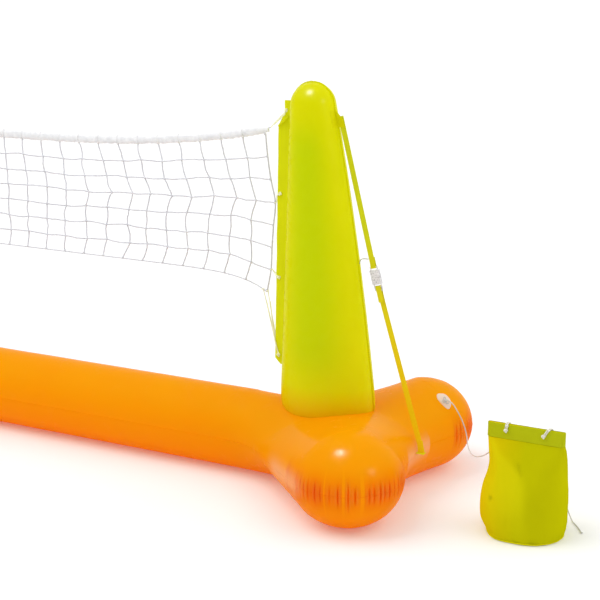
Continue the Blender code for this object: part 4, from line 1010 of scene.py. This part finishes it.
# Net flaps: sheets on the posts' inner seams, with the holes that the net is tied through
flap = {
    "edgeZ": (0.868, 0.842, 0.812, 0.276, 0.262), "reach": (0.0199, 0.0183, 0.0337, 0.0249, 0.0108),
    "holeZ": (0.846, 0.659, 0.467, 0.284), "holeReach": (0.0145, 0.0230, 0.0199, 0.0152),
    "holeRadius": 0.0026, "tieRows": (3, 6, 7), "wave": 0.0011, "rows": 150, "columns": 8, "roll": 0.0034,
}


def flapEdge(z):
    corners = list(zip(flap["edgeZ"], flap["reach"]))
    for (high, reachHigh), (low, reachLow) in zip(corners, corners[1:]):
        if low <= z <= high:
            share = (z - low) / (high - low)
            return edgeX(z, False) - (reachLow + (reachHigh - reachLow) * share)
    return edgeX(z, False) - flap["reach"][-1]


def netFlap(label, turn, seed):
    top, bottom = flap["edgeZ"][0], flap["edgeZ"][-1]
    even = {round(top + (bottom - top) * step / flap["rows"], 5) for step in range(flap["rows"] + 1)}
    levels = sorted(even | set(flap["edgeZ"]))
    fronts, backs = [], []
    for z in levels:
        seam = edgeX(z, False) - post["lip"] - 2 * clearance
        edge = flapEdge(z)
        front, back = [], []
        for column in range(flap["columns"] + 1):
            share = column / flap["columns"]
            sway = flap["wave"] * share * noise.noise(Vector((z * 16, share * 2, seed * 3.7)))
            sway += 0.4 * flap["wave"] * share * sin(z * 85 + seed)
            x = seam + (edge - seam) * share
            front.append(Vector((x, sway - flapVinyl / 2, z)))
            back.append(Vector((x, sway + flapVinyl / 2, z)))
        fronts.append(front)
        backs.append(back)
    bm = bmesh.new()
    rings = [front + list(reversed(back)) for front, back in zip(fronts, backs)]
    loftRings(bm, rings)
    name = f"net_flap_sheet_{label}"
    sheetData = dataFrom(name, bm)
    holes = [(edgeX(z, False) - reach, z) for reach, z in zip(flap["holeReach"], flap["holeZ"])]
    bm = bmesh.new()
    for x, z in holes:
        place = Matrix.Translation((x, 0, z)) @ Matrix.Rotation(pi / 2, 4, "X")
        bmesh.ops.create_cone(bm, cap_ends=True, segments=24, radius1=flap["holeRadius"],
                              radius2=flap["holeRadius"], depth=0.02, matrix=place)
    punch = bpy.data.objects.new("punch", dataFrom("punch", bm))
    plain = bpy.data.objects.new("plain", sheetData)
    for made in (punch, plain):
        scene.collection.objects.link(made)
    step = plain.modifiers.new("holes", "BOOLEAN")
    step.operation, step.object, step.solver = "DIFFERENCE", punch, "EXACT"
    graph = bpy.context.evaluated_depsgraph_get()
    cut = bpy.data.meshes.new_from_object(plain.evaluated_get(graph))
    bm = bmesh.new()
    bm.from_mesh(cut)
    for x, z in holes:
        rim = [Vector((x + 0.0034 * cos(2 * pi * k / 24), 0, z + 0.0034 * sin(2 * pi * k / 24)))
               for k in range(25)]
        addTube(bm, rim, 0.0007, 6, Vector((0, 1, 0)))
    for made in (punch, plain):
        bpy.data.objects.remove(made, do_unlink=True)
    newPiece(name, dataFrom(name, bm, turn), flapLime, replaced=(f"net_flap_{label}",))

    # its upper corner is rolled over, towards the front
    low = Vector((flapEdge(0.812) + 0.0006, 0, 0.8115))
    high = Vector((edgeX(0.838, False) - 0.0045, 0, 0.838))
    along = (high - low).normalized()
    inward = Vector((along.z, 0, -along.x))
    bm = bmesh.new()
    rings = []
    for step in range(13):
        share = step / 12
        place = low.lerp(high, share)
        size = flap["roll"] * (0.35 + 0.65 * sin(pi * min(1.0, 0.12 + share)) ** 0.5)
        ring = []
        for way, thick in ((1, 0.0), (-1, flapVinyl)):
            for k in range(11)[::way]:
                angle = pi * (0.5 + 1.25 * k / 10)
                reach = size - thick
                ring.append(place + inward * (size * 0.75 + reach * cos(angle))
                            + Vector((0, -size - flapVinyl / 2 + reach * sin(angle), 0)))
        rings.append(ring)
    loftRings(bm, rings)
    name = f"net_flap_corner_{label}"
    newPiece(name, dataFrom(name, bm, turn), flapLime)
    return holes


def netTies(label, turn, holes, seed):
    rows = [Vector((sideX[row], 0, netKnot(net["across"] / 2, row).z)) for row in range(net["down"] + 1)]
    line = smoothRoute(rows, 0.004)
    ropePiece(f"side_cord_{label}", line, net["sideRadius"], 0.010, (f"net_side_cord_{label}",), turn,
              step=0.0016, loose=0.4, seed=seed)
    radius = net["tieRadius"]
    behindCord = Vector((0, net["sideRadius"] + clearance + radius, 0))
    behindFlap = flapVinyl / 2 + 0.0012 + radius
    starts = [headRopeEnd() + Vector((radius, 0, 0))] + [rows[row] + behindCord for row in flap["tieRows"]]
    rng = Random(seed)
    for number, (start, (x, z)) in enumerate(zip(starts, holes), 1):
        ways = [start]
        if number == 4:
            ways.append(netKnot(net["across"] / 2 - 0.45, net["down"]) + Vector((0, 0.003, -0.003)))
        bm = bmesh.new()
        for way, begin in enumerate(ways):
            lead = begin.lerp(Vector((x, 0, z)), 0.35)
            lead.y = behindFlap
            bend = Vector((rng.uniform(-0.0015, 0.0015), 0, rng.uniform(-0.0015, 0.0015)))
            route = [begin, lead + bend, Vector((x, behindFlap, z)),
                     Vector((x, -flapVinyl / 2 - 1.6 * radius, z + 0.0006 * way))]
            addTwist(bm, smoothRoute(route, 0.002), radius, 0.006, sides=4, loose=0.3, seed=seed)
            # and back over the front of the flap to its edge
            edge = Vector((flapEdge(z) - radius * 1.2, 0, z + (begin.z - z) * 0.25))
            front = -flapVinyl / 2 - radius * 1.1
            between = Vector(((x + edge.x) / 2, front - 0.0008, (z + edge.z) / 2 + 0.001))
            back = [Vector((x, front, z)), between, edge + Vector((0.001, front, 0)), edge,
                    lead.lerp(begin, 0.5) + Vector((0, 0.0005, 0))]
            addTwist(bm, smoothRoute(back, 0.0015), radius * 1.4, 0.007, sides=4, seed=seed + 1)
            # loop round the net's cord, where the tie starts
            ring = [begin + Vector((0.0030 * cos(2 * pi * k / 14), 0.0034 * sin(2 * pi * k / 14),
                                    0.0012 * cos(2 * pi * k / 14))) - Vector((0, 0.0022, 0))
                    for k in range(15)]
            if number > 1:
                addTube(bm, ring, radius * 0.8, 5)
        tilt = Matrix.Rotation(pi / 2, 3, "X") @ Matrix.Rotation(rng.uniform(0, pi), 3, "Z")
        addKnot(bm, (x, -flapVinyl / 2 - 2.4 * radius, z), 4.0 * radius, radius, tilt, 30, 5)
        name = f"flap_tie_{number}_{label}"
        newPiece(name, dataFrom(name, bm, turn), tieCord,
                 replaced=(f"net_tie_{number}_{label}",), smooth=None)


# Straps and buckles
strap = {
    "width": 0.013, "topDrop": 0.070, "topOut": 0.0114, "footX": 1.159, "tail": 0.034, "footTab": 0.0022,
    "centre": (1.045, 0.484), "socketHeight": 0.026, "slot": 0.0048, "bar": 0.0026, "plugBlock": 0.006,
    "plugGap": 0.0004, "keeperRadius": 0.0011, "keeperZ": 0.519, "keeperRise": 0.013,
}


def frameFrom(place, up):
    z = up.normalized()
    x = Vector((0, 1, 0)).cross(z).normalized()
    turn = Matrix((x, z.cross(x), z)).transposed().to_4x4()
    return Matrix.Translation(place) @ turn


def ribbonMesh(name, route, widthWay, width, thickness, turn):
    bm = bmesh.new()
    rings = []
    side = widthWay.normalized()
    half, thick, soft = width / 2, thickness / 2, 0.0005
    outline = ((half, 0), (half - soft * 0.4, thick * 0.75), (half - soft * 1.6, thick), (0, thick * 0.86),
               (-half + soft * 1.6, thick), (-half + soft * 0.4, thick * 0.75), (-half, 0),
               (-half + soft * 0.4, -thick * 0.75), (-half + soft * 1.6, -thick), (0, -thick * 0.86),
               (half - soft * 1.6, -thick), (half - soft * 0.4, -thick * 0.75))
    for index, point in enumerate(route):
        along = (route[min(index + 1, len(route) - 1)] - route[max(index - 1, 0)]).normalized()
        across = (side - along * side.dot(along)).normalized()
        facing = across.cross(along)
        rings.append([point + across * a + facing * b for a, b in outline])
    loftRings(bm, rings)
    return dataFrom(name, bm, turn)


def strapPlaces():
    topZ = post["top"] - strap["topDrop"]
    top = Vector((edgeX(topZ, True) + strap["topOut"], 0, topZ))
    seat = Vector((strap["footX"], 0, baseSeam(base["notch"]) + clearance / 2 + sheetVinyl + clearance))
    slant = (top - seat).normalized()
    foot = seat + Vector((0, 0, strap["footTab"] + clearance + strap["width"] / 2 * -slant.x))
    return top, seat, foot


def makeStrap(label, turn):
    top, seat, foot = strapPlaces()
    place = frameFrom(Vector((strap["centre"][0], 0, strap["centre"][1])), top - foot)
    barRound = strap["bar"] / 2 * 2 ** 0.5 + clearance + flapVinyl / 2
    upperBar = strap["socketHeight"] + strap["slot"] + strap["bar"] / 2
    upperEnd = place.inverted() @ top
    lowerEnd = place.inverted() @ foot
    bar = -strap["plugBlock"] - strap["plugGap"] - strap["slot"] - strap["bar"] / 2
    fold = arcPoints((0, upperBar), barRound, pi, 2 * pi, 14)
    upper = [(0.0, upperEnd.z), (-barRound * 0.5, upperBar + 0.012)]
    upper += [(point.x, point.y) for point in fold]
    upper += [(barRound * 0.95, upperBar + 0.010), (barRound * 0.95, upperBar + 0.022)]
    over = arcPoints((0, bar), barRound, 0, pi, 14)
    lower = [(0.0, lowerEnd.z), (barRound * 0.6, bar - 0.030), (barRound, bar - 0.012)]
    lower += [(point.x, point.y) for point in over]
    lower += [(-barRound, bar - 0.012), (-barRound - 0.002, bar - strap["tail"])]
    halves = (("upper", upper, upperEnd, upperBar), ("lower", lower, lowerEnd, bar))
    for word, profile, end, startZ in halves:
        line = []
        for y, z in profile:
            share = max(0.0, (z - startZ) / (end.z - startZ))
            line.append(Vector((end.x * share, y, z)))
        line = [line[0].lerp(line[1], step / 24) for step in range(24)] + line[1:]
        route = [place @ point for point in line]
        name = f"strap_{word}_ribbon_{label}"
        data = ribbonMesh(name, route, place.to_3x3() @ Vector((1, 0, 0)), strap["width"], flapVinyl, turn)
        newPiece(name, data, strapLime, replaced=(f"strap_{word}_{label}",))
    return top, seat, foot, place @ Vector((0, 0, upperBar))


def sheetTab(name, rows, thickness, turn, replaced, finish=flapLime):
    # a thin sheet through rows of points, with rounded rims
    bm = bmesh.new()
    grid = [[bm.verts.new(point) for point in row] for row in rows]
    for row, following in zip(grid, grid[1:]):
        for index in range(len(row) - 1):
            bm.faces.new((row[index], row[index + 1], following[index + 1], following[index]))
    piece = newPiece(name, dataFrom(name, bm, turn), finish, replaced=replaced)
    shell = piece.modifiers.new("sheet", "SOLIDIFY")
    shell.thickness, shell.offset = thickness, 0.0
    soft = piece.modifiers.new("rim", "BEVEL")
    soft.width, soft.segments, soft.limit_method = thickness * 0.3, 2, "ANGLE"
    return piece


def makeTabs(label, turn, tree, top, seat, foot):
    # the upper tab is welded on the post's seam and runs out to the strap
    down = (foot - top).normalized()
    rows = []
    high, low = top.z + 0.012, top.z - 0.024
    for step in range(13):
        z = high + (low - high) * step / 12
        seam = edgeX(z, True)
        outer = (top + down * max(0.0, (top.z - z) / -down.z)).x + 0.0045
        if z > top.z - 0.006:
            outer = seam + 0.003 + (outer - seam - 0.003) * (1 - (z - top.z + 0.006) / 0.018)
        inner = seam - 0.0035
        row = []
        for part in range(11):
            x = inner + (outer - inner) * part / 10
            y = -0.0018
            if x < seam - 0.0005:
                hit = tree.ray_cast(Vector((x, -1, z)), Vector((0, 1, 0)))[0]
                y = min(y, hit.y - 0.0005) if hit else y
            row.append(Vector((x, y, z)))
        rows.append(row)
    sheetTab(f"strap_top_sheet_{label}", rows, 0.0006, turn, (f"strap_top_tab_{label}",), limeVinyl)

    rows = []
    for step in range(9):
        y = -0.0075 + 0.015 * step / 8
        row = []
        for part in range(9):
            x = base["notch"] - 0.004 + (strap["footX"] + 0.012 - base["notch"]) * part / 8
            row.append(Vector((x, y, seat.z + 0.0010 - 0.0008 * (abs(y) / 0.0075) ** 2)))
        rows.append(row)
    sheetTab(f"strap_foot_leaf_{label}", rows, flapVinyl, turn, (f"strap_foot_tab_{label}",))
    rows = []
    front = -flapVinyl / 2 - clearance - flapVinyl / 2
    for step in range(7):
        share = step / 6
        z = seat.z + 0.0012 + 0.0290 * share
        left, right = strap["footX"] - 0.008 - 0.004 * share, strap["footX"] + 0.008 - 0.006 * share
        rows.append([Vector((left + (right - left) * part / 5, front, z)) for part in range(6)])
    sheetTab(f"strap_foot_upright_{label}", rows, flapVinyl, turn, (), strapLime)


def makeKeeper(label, turn, top, bar):
    strapZ = strap["keeperZ"] + strap["keeperRise"]
    share = (top.z - strapZ) / (top.z - bar.z)
    strapX = top.x + (bar.x - top.x) * share - strap["width"] / 2 * 1.04
    start = Vector((edgeX(strap["keeperZ"], True) + post["lip"] + clearance, 0, strap["keeperZ"]))
    end = Vector((strapX - strap["keeperRadius"], 0, strapZ))
    middle = start.lerp(end, 0.45) + Vector((-0.003, -0.004, 0.006))
    ropePiece(f"keeper_cord_{label}", smoothRoute((start, middle, end), 0.001), strap["keeperRadius"], 0.004,
              (f"strap_keeper_{label}",), turn, keeperCord, sides=4)


def softened(node, name, finish, body, width=0.0004):
    data = cadNodes[node].data.copy()
    data.materials.clear()
    bm = bmesh.new()
    bm.from_mesh(data)
    bmesh.ops.remove_doubles(bm, verts=bm.verts, dist=1e-6)
    bmesh.ops.dissolve_limit(bm, angle_limit=radians(1.5), verts=bm.verts, edges=bm.edges)
    bmesh.ops.recalc_face_normals(bm, faces=bm.faces)
    bm.to_mesh(data)
    bm.free()
    piece = newPiece(name, data, finish, body, (node,), 35)
    soft = piece.modifiers.new("edges", "BEVEL")
    soft.width, soft.segments, soft.limit_method, soft.angle_limit = width, 2, "ANGLE", radians(35)
    soft.use_clamp_overlap = True
    return piece


def makeEnd(label, turn, seed):
    tree = postBody(label, turn, seed)
    holes = netFlap(label, turn, seed)
    netTies(label, turn, holes, seed)
    top, seat, foot, bar = makeStrap(label, turn)
    makeTabs(label, turn, tree, top, seat, foot)
    makeKeeper(label, turn, top, bar)
    for word in ("socket", "plug"):
        softened(f"buckle_{word}_{label}", f"buckle_{word}_moulding_{label}", clearPlastic,
                 "root")
    for word in ("inner", "outer"):
        softened(f"buckle_prong_{word}_{label}", f"buckle_spring_{word}_{label}", clearPlastic,
                 f"{label}_{word}_prong", 0.0003)
    softened(f"post_{label}_valve_stem", f"post_{label}_valve_body", valveVinyl, "root",
             0.0003)
    softened(f"post_{label}_valve_cap", f"post_{label}_valve_lid", valveVinyl,
             f"{label}_post_cap", 0.0003)
    print("end made:", label)


makeEnd("right", None, 1)
makeEnd("left", Matrix.Rotation(pi, 4, "Z"), 2)
softened("base_valve_stem", "base_valve_body", valveVinyl, "root", 0.0003)
softened("base_valve_cap", "base_valve_lid", valveVinyl, "base_cap", 0.0003)


# Patch under the anchor's knot
def makePatch():
    sides = patch["sides"]
    outline = []
    for index in range(sides):
        turn = 2 * pi * index / sides
        off = turn - patch["point"]
        reach = 0.90 + 0.14 * max(0.0, cos(off)) ** 6 - 0.10 * max(0.0, -cos(off)) ** 12
        reach -= 0.10 * abs(sin(off)) * max(0.0, cos(off))
        reach *= 1 + 0.02 * noise.noise(Vector((cos(turn) * 2, sin(turn) * 2, 4)))
        outline.append(Vector((cos(turn) * patch["length"], sin(turn) * patch["width"])) * reach / 2)
    levels = ((0.0, 0.0018), (0.3, 0.0018), (0.6, 0.0017), (0.82, 0.0015), (0.90, 0.0009), (0.93, 0.0013),
              (0.985, 0.0011), (1.0, 0.0006), (1.0, -0.0002))
    bm = bmesh.new()
    rings = []
    middleOut = Vector(patch["centre"]) + Vector(patch["shift"])
    for share, lift in levels[1:]:
        ring = []
        for point in outline:
            place, normal = baseTop(*(middleOut + point * share))
            ring.append(place + normal * (lift + 0.0002))
        rings.append(ring)
    rows = loftRings(bm, rings, capped=False)
    place, normal = baseTop(*middleOut)
    middle = bm.verts.new(place + normal * 0.0020)
    for index in range(sides):
        bm.faces.new((rows[0][index], rows[0][(index + 1) % sides], middle))
    bm.faces.new(list(reversed(rows[-1])))
    newPiece("anchor_patch_disc", dataFrom("anchor_patch_disc", bm), patchVinyl,
             replaced=("anchor_patch",))


makePatch()


# Bag that anchors the net, filled and tied at its flat neck
bag = {
    "centre": (1.421, -0.070), "halfWidth": 0.093, "halfDepth": 0.080, "height": 0.231,
    "neckHalfWidth": 0.084, "neckHalfDepth": 0.0045, "hemHeight": 0.030, "hemHalfDepth": 0.011,
    "levels": ((0.0, 0.88, 0.86), (0.002, 0.92, 0.91), (0.006, 0.95, 0.95), (0.018, 0.985, 0.975),
               (0.030, 1.0, 1.0), (0.052, 1.0, 1.0), (0.075, 1.0, 0.98), (0.098, 0.99, 0.91),
               (0.120, 0.97, 0.80), (0.142, 0.955, 0.66), (0.165, 0.94, 0.50), (0.184, 0.92, 0.32)),
    "sides": 120,
    "tieX": (-0.040, 0.050), "tieSlant": (0.001, 0.010), "tieDrop": 0.013, "tieRadius": 0.0015,
}


def bagRing(z, halfWidth, halfDepth, sides):
    ring = []
    for index in range(sides):
        straight = max(0.0, halfWidth - halfDepth)
        # an even walk round the two straights and the two round ends
        around = 2 * pi * halfDepth + 4 * straight
        s = (index + 0.5) / sides * around
        quarter = pi * halfDepth / 2
        if s < quarter:
            angle, shift = s / halfDepth, straight
        elif s < quarter + 2 * straight:
            angle, shift = pi / 2, straight - (s - quarter)
        elif s < 3 * quarter + 2 * straight:
            angle, shift = (s - 2 * straight) / halfDepth, -straight
        elif s < 3 * quarter + 4 * straight:
            angle, shift = 3 * pi / 2, -straight + (s - 3 * quarter - 2 * straight)
        else:
            angle, shift = (s - 4 * straight) / halfDepth, straight
        ring.append(Vector((bag["centre"][0] + shift + halfDepth * cos(angle),
                            bag["centre"][1] + halfDepth * sin(angle), z)))
    return ring


def bagLevel(z):
    # half width and half depth at a height
    neckZ = bag["height"] - bag["hemHeight"]
    known = [(0.0 if level == 0 else height, wide * bag["halfWidth"], deep * bag["halfDepth"])
             for level, (height, wide, deep) in enumerate(bag["levels"])]
    known.append((neckZ, bag["neckHalfWidth"], bag["hemHalfDepth"]))
    known.append((bag["height"], bag["neckHalfWidth"], bag["neckHalfDepth"]))
    for low, high in zip(known, known[1:]):
        if z <= high[0]:
            share = (z - low[0]) / (high[0] - low[0])
            return low[1] + (high[1] - low[1]) * share, low[2] + (high[2] - low[2]) * share
    return known[-1][1:]


def bagDent(point):
    # soft folds that fall from the neck, and the slack of the filling
    local = point - Vector((bag["centre"][0], bag["centre"][1], 0))
    front = 1 if local.y < 0 else -1
    high = easing((point.z - 0.05) / 0.12)
    drawn = sin(local.x * 62 + 1.3 * front + 2.2 * sin(local.x * 19 + front)) * 0.0022 * high
    drawn *= 1 - 0.75 * easing((point.z - 0.185) / 0.02)
    slack = 0.0030 * noise.noise(Vector((local.x * 16, front * 3.0, local.z * 13)))
    small = 0.0009 * noise.noise(Vector((local.x * 55, front * 9.0, local.z * 42)))
    creased = sum(depth * amount for depth, amount in foldsAt(local) if front > 0)
    return drawn + slack + small + creased


def foldsAt(local):
    found = []
    for x1, z1, x2, z2, depth, wide in bagCreases:
        start, end = Vector((x1, z1)), Vector((x2, z2))
        point = Vector((local.x, local.z))
        share = min(1.0, max(0.0, (point - start).dot(end - start) / (end - start).length_squared))
        away = (point - start.lerp(end, share)).length / wide
        if away < 3:
            found.append((depth, exp(-away * away)))
    return found


# Folds and dents on the bag's front, (x1, z1, x2, z2, depth, width); one of them is raised
bagCreases = (
    (-0.001, 0.162, 0.010, 0.142, 0.0013, 0.003), (-0.050, 0.089, -0.050, 0.087, 0.0042, 0.004),
    (-0.047, 0.182, 0.010, 0.144, -0.0030, 0.010), (0.006, 0.006, 0.018, 0.002, 0.0022, 0.0035),
    (0.040, 0.006, 0.052, 0.002, 0.0022, 0.0035),
)
# Edge of the lit left facet: heights, and how far it lies from the bag's middle
bagFacet = ((0.0, 0.114, 0.141, 0.180, 0.201), (0.034, 0.022, 0.013, -0.047, -0.070))


def makeBag():
    neckZ = bag["height"] - bag["hemHeight"]
    heights = [0.0, 0.0015, 0.004, 0.007, 0.011, 0.016] + [0.022 + (neckZ - 0.022) * step / 44
                                                         for step in range(45)]
    sides = bag["sides"]
    rings = []
    for z in heights:
        wide, deep = bagLevel(z)
        ring = bagRing(z, wide, deep, sides)
        middle = Vector((bag["centre"][0], bag["centre"][1], z))
        fade = easing(z / 0.02) * (1 - easing((z - neckZ + 0.012) / 0.012))
        for point in ring:
            inward = (middle - point).normalized()
            inward.x *= 0.5
            point += inward * bagDent(point) * fade
            # slack on the left: narrow below the neck and drawn in at the foot
            left = easing((middle.x - 0.02 - point.x) / 0.06)
            drawnIn = 0.012 * exp(-((z - 0.142) / 0.042) ** 2) + 0.011 * exp(-((z - 0.004) / 0.022) ** 2)
            point.x += left * drawnIn
        rings.append(ring)
    creaseShades, litUp = [], []
    for ring in rings:
        places = [point - Vector((bag["centre"][0], bag["centre"][1], 0)) for point in ring]
        folded = [[(depth, amount) for depth, amount in foldsAt(local) if local.y < 0] for local in places]
        # painted shade: darker in the creases and the dent
        creaseShades.append([min(1.0, sum(depth * amount / 0.0042 for depth, amount in found if depth > 0))
                        for found in folded])
        # painted light: paler on the front left of the lit facet's edge, less towards the foot
        facet = float(numpy.interp(ring[0].z, *bagFacet))
        lit = 0.45 - 0.25 * easing((0.10 - ring[0].z) / 0.07)
        litUp.append([lit * easing((facet - local.x) / 0.026 + 0.5) * (local.y < 0) for local in places])
    inside = 0.0016
    rings.append(bagRing(neckZ, bag["neckHalfWidth"] - inside, bag["hemHalfDepth"] - inside, sides))
    rings.append(bagRing(bag["height"] - 0.0006, bag["neckHalfWidth"] - inside, bag["neckHalfDepth"] - inside,
                         sides))
    bm = bmesh.new()
    layers = [bm.verts.layers.float.new(word) for word in ("creaseShade", "lit")]
    rows = loftRings(bm, rings)
    for layer, marks in zip(layers, (creaseShades, litUp)):
        for row, values in zip(rows, marks):
            for vert, value in zip(row, values):
                vert[layer] = value
    # welded rim at the foot
    known = set(bm.verts)
    floor = bagRing(0.0, bag["halfWidth"] * 0.925, bag["halfDepth"] * 0.92, 120)
    for point in floor:
        point.z = 0.0026 + 0.0008 * noise.noise(point * 60)
        left = easing((bag["centre"][0] - 0.02 - point.x) / 0.06)
        point.x += left * 0.011
    addTube(bm, floor + [floor[0]], 0.0019, 6, Vector((0, 0, 1)))
    # the rim is painted fully lit
    for vert in bm.verts:
        if vert not in known:
            vert[layers[1]] = 1.0
    piece = newPiece("anchor_bag_body", dataFrom("anchor_bag_body", bm), bagVinyl,
                     replaced=("anchor_bag",))

    bm = bmesh.new()
    outer = []
    for step in range(13):
        z = neckZ + 0.0006 + (bag["height"] - neckZ - 0.0006) * step / 12
        share = (z - neckZ) / (bag["height"] - neckZ)
        deep = bag["hemHalfDepth"] + (bag["neckHalfDepth"] - bag["hemHalfDepth"]) * share
        ring = bagRing(z, bag["neckHalfWidth"], deep, sides)
        for point in ring:
            out = 1 if point.y < bag["centre"][1] else -1
            wave = 0.0007 * noise.noise(Vector((point.x * 60, out * 4.0, z * 20)))
            weld = -0.0005 * exp(-((z - neckZ - 0.004) / 0.0012) ** 2)
            point.y -= out * (wave + weld) * (0.2 + 0.8 * min(1.0, share * 3))
        outer.append(ring)
    inner = []
    for ring in reversed(outer):
        z = ring[0].z
        middle = Vector((bag["centre"][0], bag["centre"][1], z))
        wall = 0.0010
        thin = []
        for point in ring:
            x = middle.x + (point.x - middle.x) * (1 - wall / bag["neckHalfWidth"])
            y = middle.y + (point.y - middle.y) * (1 - wall / max(0.003, abs(ring[0].y - middle.y) + 0.0035))
            thin.append(Vector((x, y, z)))
        inner.append(thin)
    rows = loftRings(bm, outer + inner, capped=False)
    for index in range(sides):
        after = (index + 1) % sides
        bm.faces.new((rows[-1][index], rows[-1][after], rows[0][after], rows[0][index]))
    newPiece("anchor_bag_hem", dataFrom("anchor_bag_hem", bm), hemLime, replaced=("bag_hem",))

    radius = bag["tieRadius"]
    out = bag["neckHalfDepth"] + radius + 2 * clearance
    spreadY = (bag["hemHalfDepth"] - bag["neckHalfDepth"]) * bag["tieDrop"] / bag["hemHeight"]
    low, high = bag["height"] - bag["tieDrop"], bag["height"] + radius + 2 * clearance
    for word, x, slant in zip(("left", "right"), bag["tieX"], bag["tieSlant"]):
        over = [(x - slant, -out - spreadY, low), (x - slant * 0.2, -out, high - 0.001),
                (x, -out + 0.001, high), (x, out - 0.001, high),
                (x + slant * 0.2, out, high - 0.001), (x + slant, out + spreadY, low)]
        line = [Vector((bag["centre"][0], bag["centre"][1], 0)) + Vector(point) for point in over]
        tilt = Matrix.Rotation(pi / 2, 3, "X")
        bm = bmesh.new()
        for aside in (-0.0024, 0.0012):
            addTwist(bm, [point + Vector((aside, 0, 0)) for point in line], radius, 0.006, step=0.001)
        addKnot(bm, line[0] + Vector((0, -radius * 0.9, 0.001)), 3.4 * radius, radius * 0.95, tilt)
        if word == "left":
            addKnot(bm, line[1] + Vector((0, -radius * 0.6, -0.004)), 2.8 * radius, radius * 0.9, tilt)
        name = f"bag_cord_{word}"
        newPiece(name, dataFrom(name, bm), tieWhite, replaced=(f"bag_tie_{word}",),
                 smooth=None)


makeBag()
print("anchor made")


# Floor and light
def makeStage():
    bm = bmesh.new()
    bmesh.ops.create_grid(bm, x_segments=1, y_segments=1, size=60)
    data = dataFrom("studio_floor", bm, recalculate=False)
    floor = bpy.data.objects.new("studio_floor", data)
    floor.location.z = -0.0002
    scene.collection.objects.link(floor)
    made, tree, shader, _ = blankFinish("pale_floor")
    shader.inputs["Base Color"].default_value = (0.93, 0.93, 0.93, 1)
    shader.inputs["Roughness"].default_value = 0.9
    shader.inputs["Specular IOR Level"].default_value = 0.1
    rays = addNode(tree, "ShaderNodeLightPath")
    white = addNode(tree, "ShaderNodeEmission", Strength=0.10)
    seen = addNode(tree, "ShaderNodeMixShader")
    both = addNode(tree, "ShaderNodeAddShader")
    tree.links.new(shader.outputs[0], both.inputs[0])
    tree.links.new(white.outputs[0], both.inputs[1])
    tree.links.new(rays.outputs["Is Camera Ray"], seen.inputs[0])
    tree.links.new(shader.outputs[0], seen.inputs[1])
    tree.links.new(both.outputs[0], seen.inputs[2])
    tree.links.new(seen.outputs[0], tree.nodes["Material Output"].inputs["Surface"])
    data.materials.append(made)

    world = bpy.data.worlds.new("studio")
    scene.world = world
    world.use_nodes = True
    tree = world.node_tree
    tree.nodes.clear()
    rays = addNode(tree, "ShaderNodeLightPath")
    most = addNode(tree, "ShaderNodeMath", operation="MAXIMUM")
    every = addNode(tree, "ShaderNodeMath", operation="MAXIMUM")
    soft = addNode(tree, "ShaderNodeBackground", Strength=0.50)
    white = addNode(tree, "ShaderNodeBackground", Strength=1.0)
    soft.inputs["Color"].default_value = white.inputs["Color"].default_value = (1, 1, 1, 1)
    mix = addNode(tree, "ShaderNodeMixShader")
    end = addNode(tree, "ShaderNodeOutputWorld")
    tree.links.new(rays.outputs["Is Camera Ray"], most.inputs[0])
    tree.links.new(rays.outputs["Is Glossy Ray"], most.inputs[1])
    tree.links.new(most.outputs[0], every.inputs[0])
    tree.links.new(rays.outputs["Is Transmission Ray"], every.inputs[1])
    tree.links.new(every.outputs[0], mix.inputs[0])
    tree.links.new(soft.outputs[0], mix.inputs[1])
    tree.links.new(white.outputs[0], mix.inputs[2])
    tree.links.new(mix.outputs[0], end.inputs[0])


# The sun and the wide sky light everything; the small lamps only leave round glints on the vinyl
lamps = {
    "sun": {"place": (-2.0, -1.0, 3.0), "towards": (0.0, 0.0, 0.0), "size": 50, "power": 0.95},
    "sun_back": {"place": (2.4, 1.0, 1.8), "towards": (0.0, 0.0, 0.0), "size": 70, "power": 0.75},
    "sun_sky": {"place": (0.0, 0.6, 4.0), "towards": (0.0, 0.0, 0.0), "size": 130, "power": 0.65},
    "glint_lobe": {"place": (0.65, -0.69, 2.80), "towards": (1.09, -0.28, 0.18), "size": 0.62, "power": 420},
    "glint_side": {"place": (6.30, -0.83, 3.17), "towards": (1.16, -0.26, 0.15), "size": 1.4, "power": 200},
}


def makeLamps():
    for name, lamp in lamps.items():
        far = name.startswith("sun")
        data = bpy.data.lights.new(name, "SUN" if far else "AREA")
        data.energy = lamp["power"]
        if far:
            data.angle = radians(lamp["size"])
        else:
            data.shape, data.size = "DISK", lamp["size"]
        made = bpy.data.objects.new(name, data)
        made.visible_diffuse = far
        made.visible_transmission = far
        made.visible_glossy = not far
        scene.collection.objects.link(made)
        way = Vector(lamp["towards"]) - Vector(lamp["place"])
        made.matrix_world = (Matrix.Translation(lamp["place"])
                             @ way.to_track_quat("-Z", "Y").to_matrix().to_4x4())


makeStage()
makeLamps()
scene.view_settings.view_transform = "Standard"

for word, node in cadNodes.items():
    if not node.hide_render:
        print("still the CAD node:", word)

print("scene made")
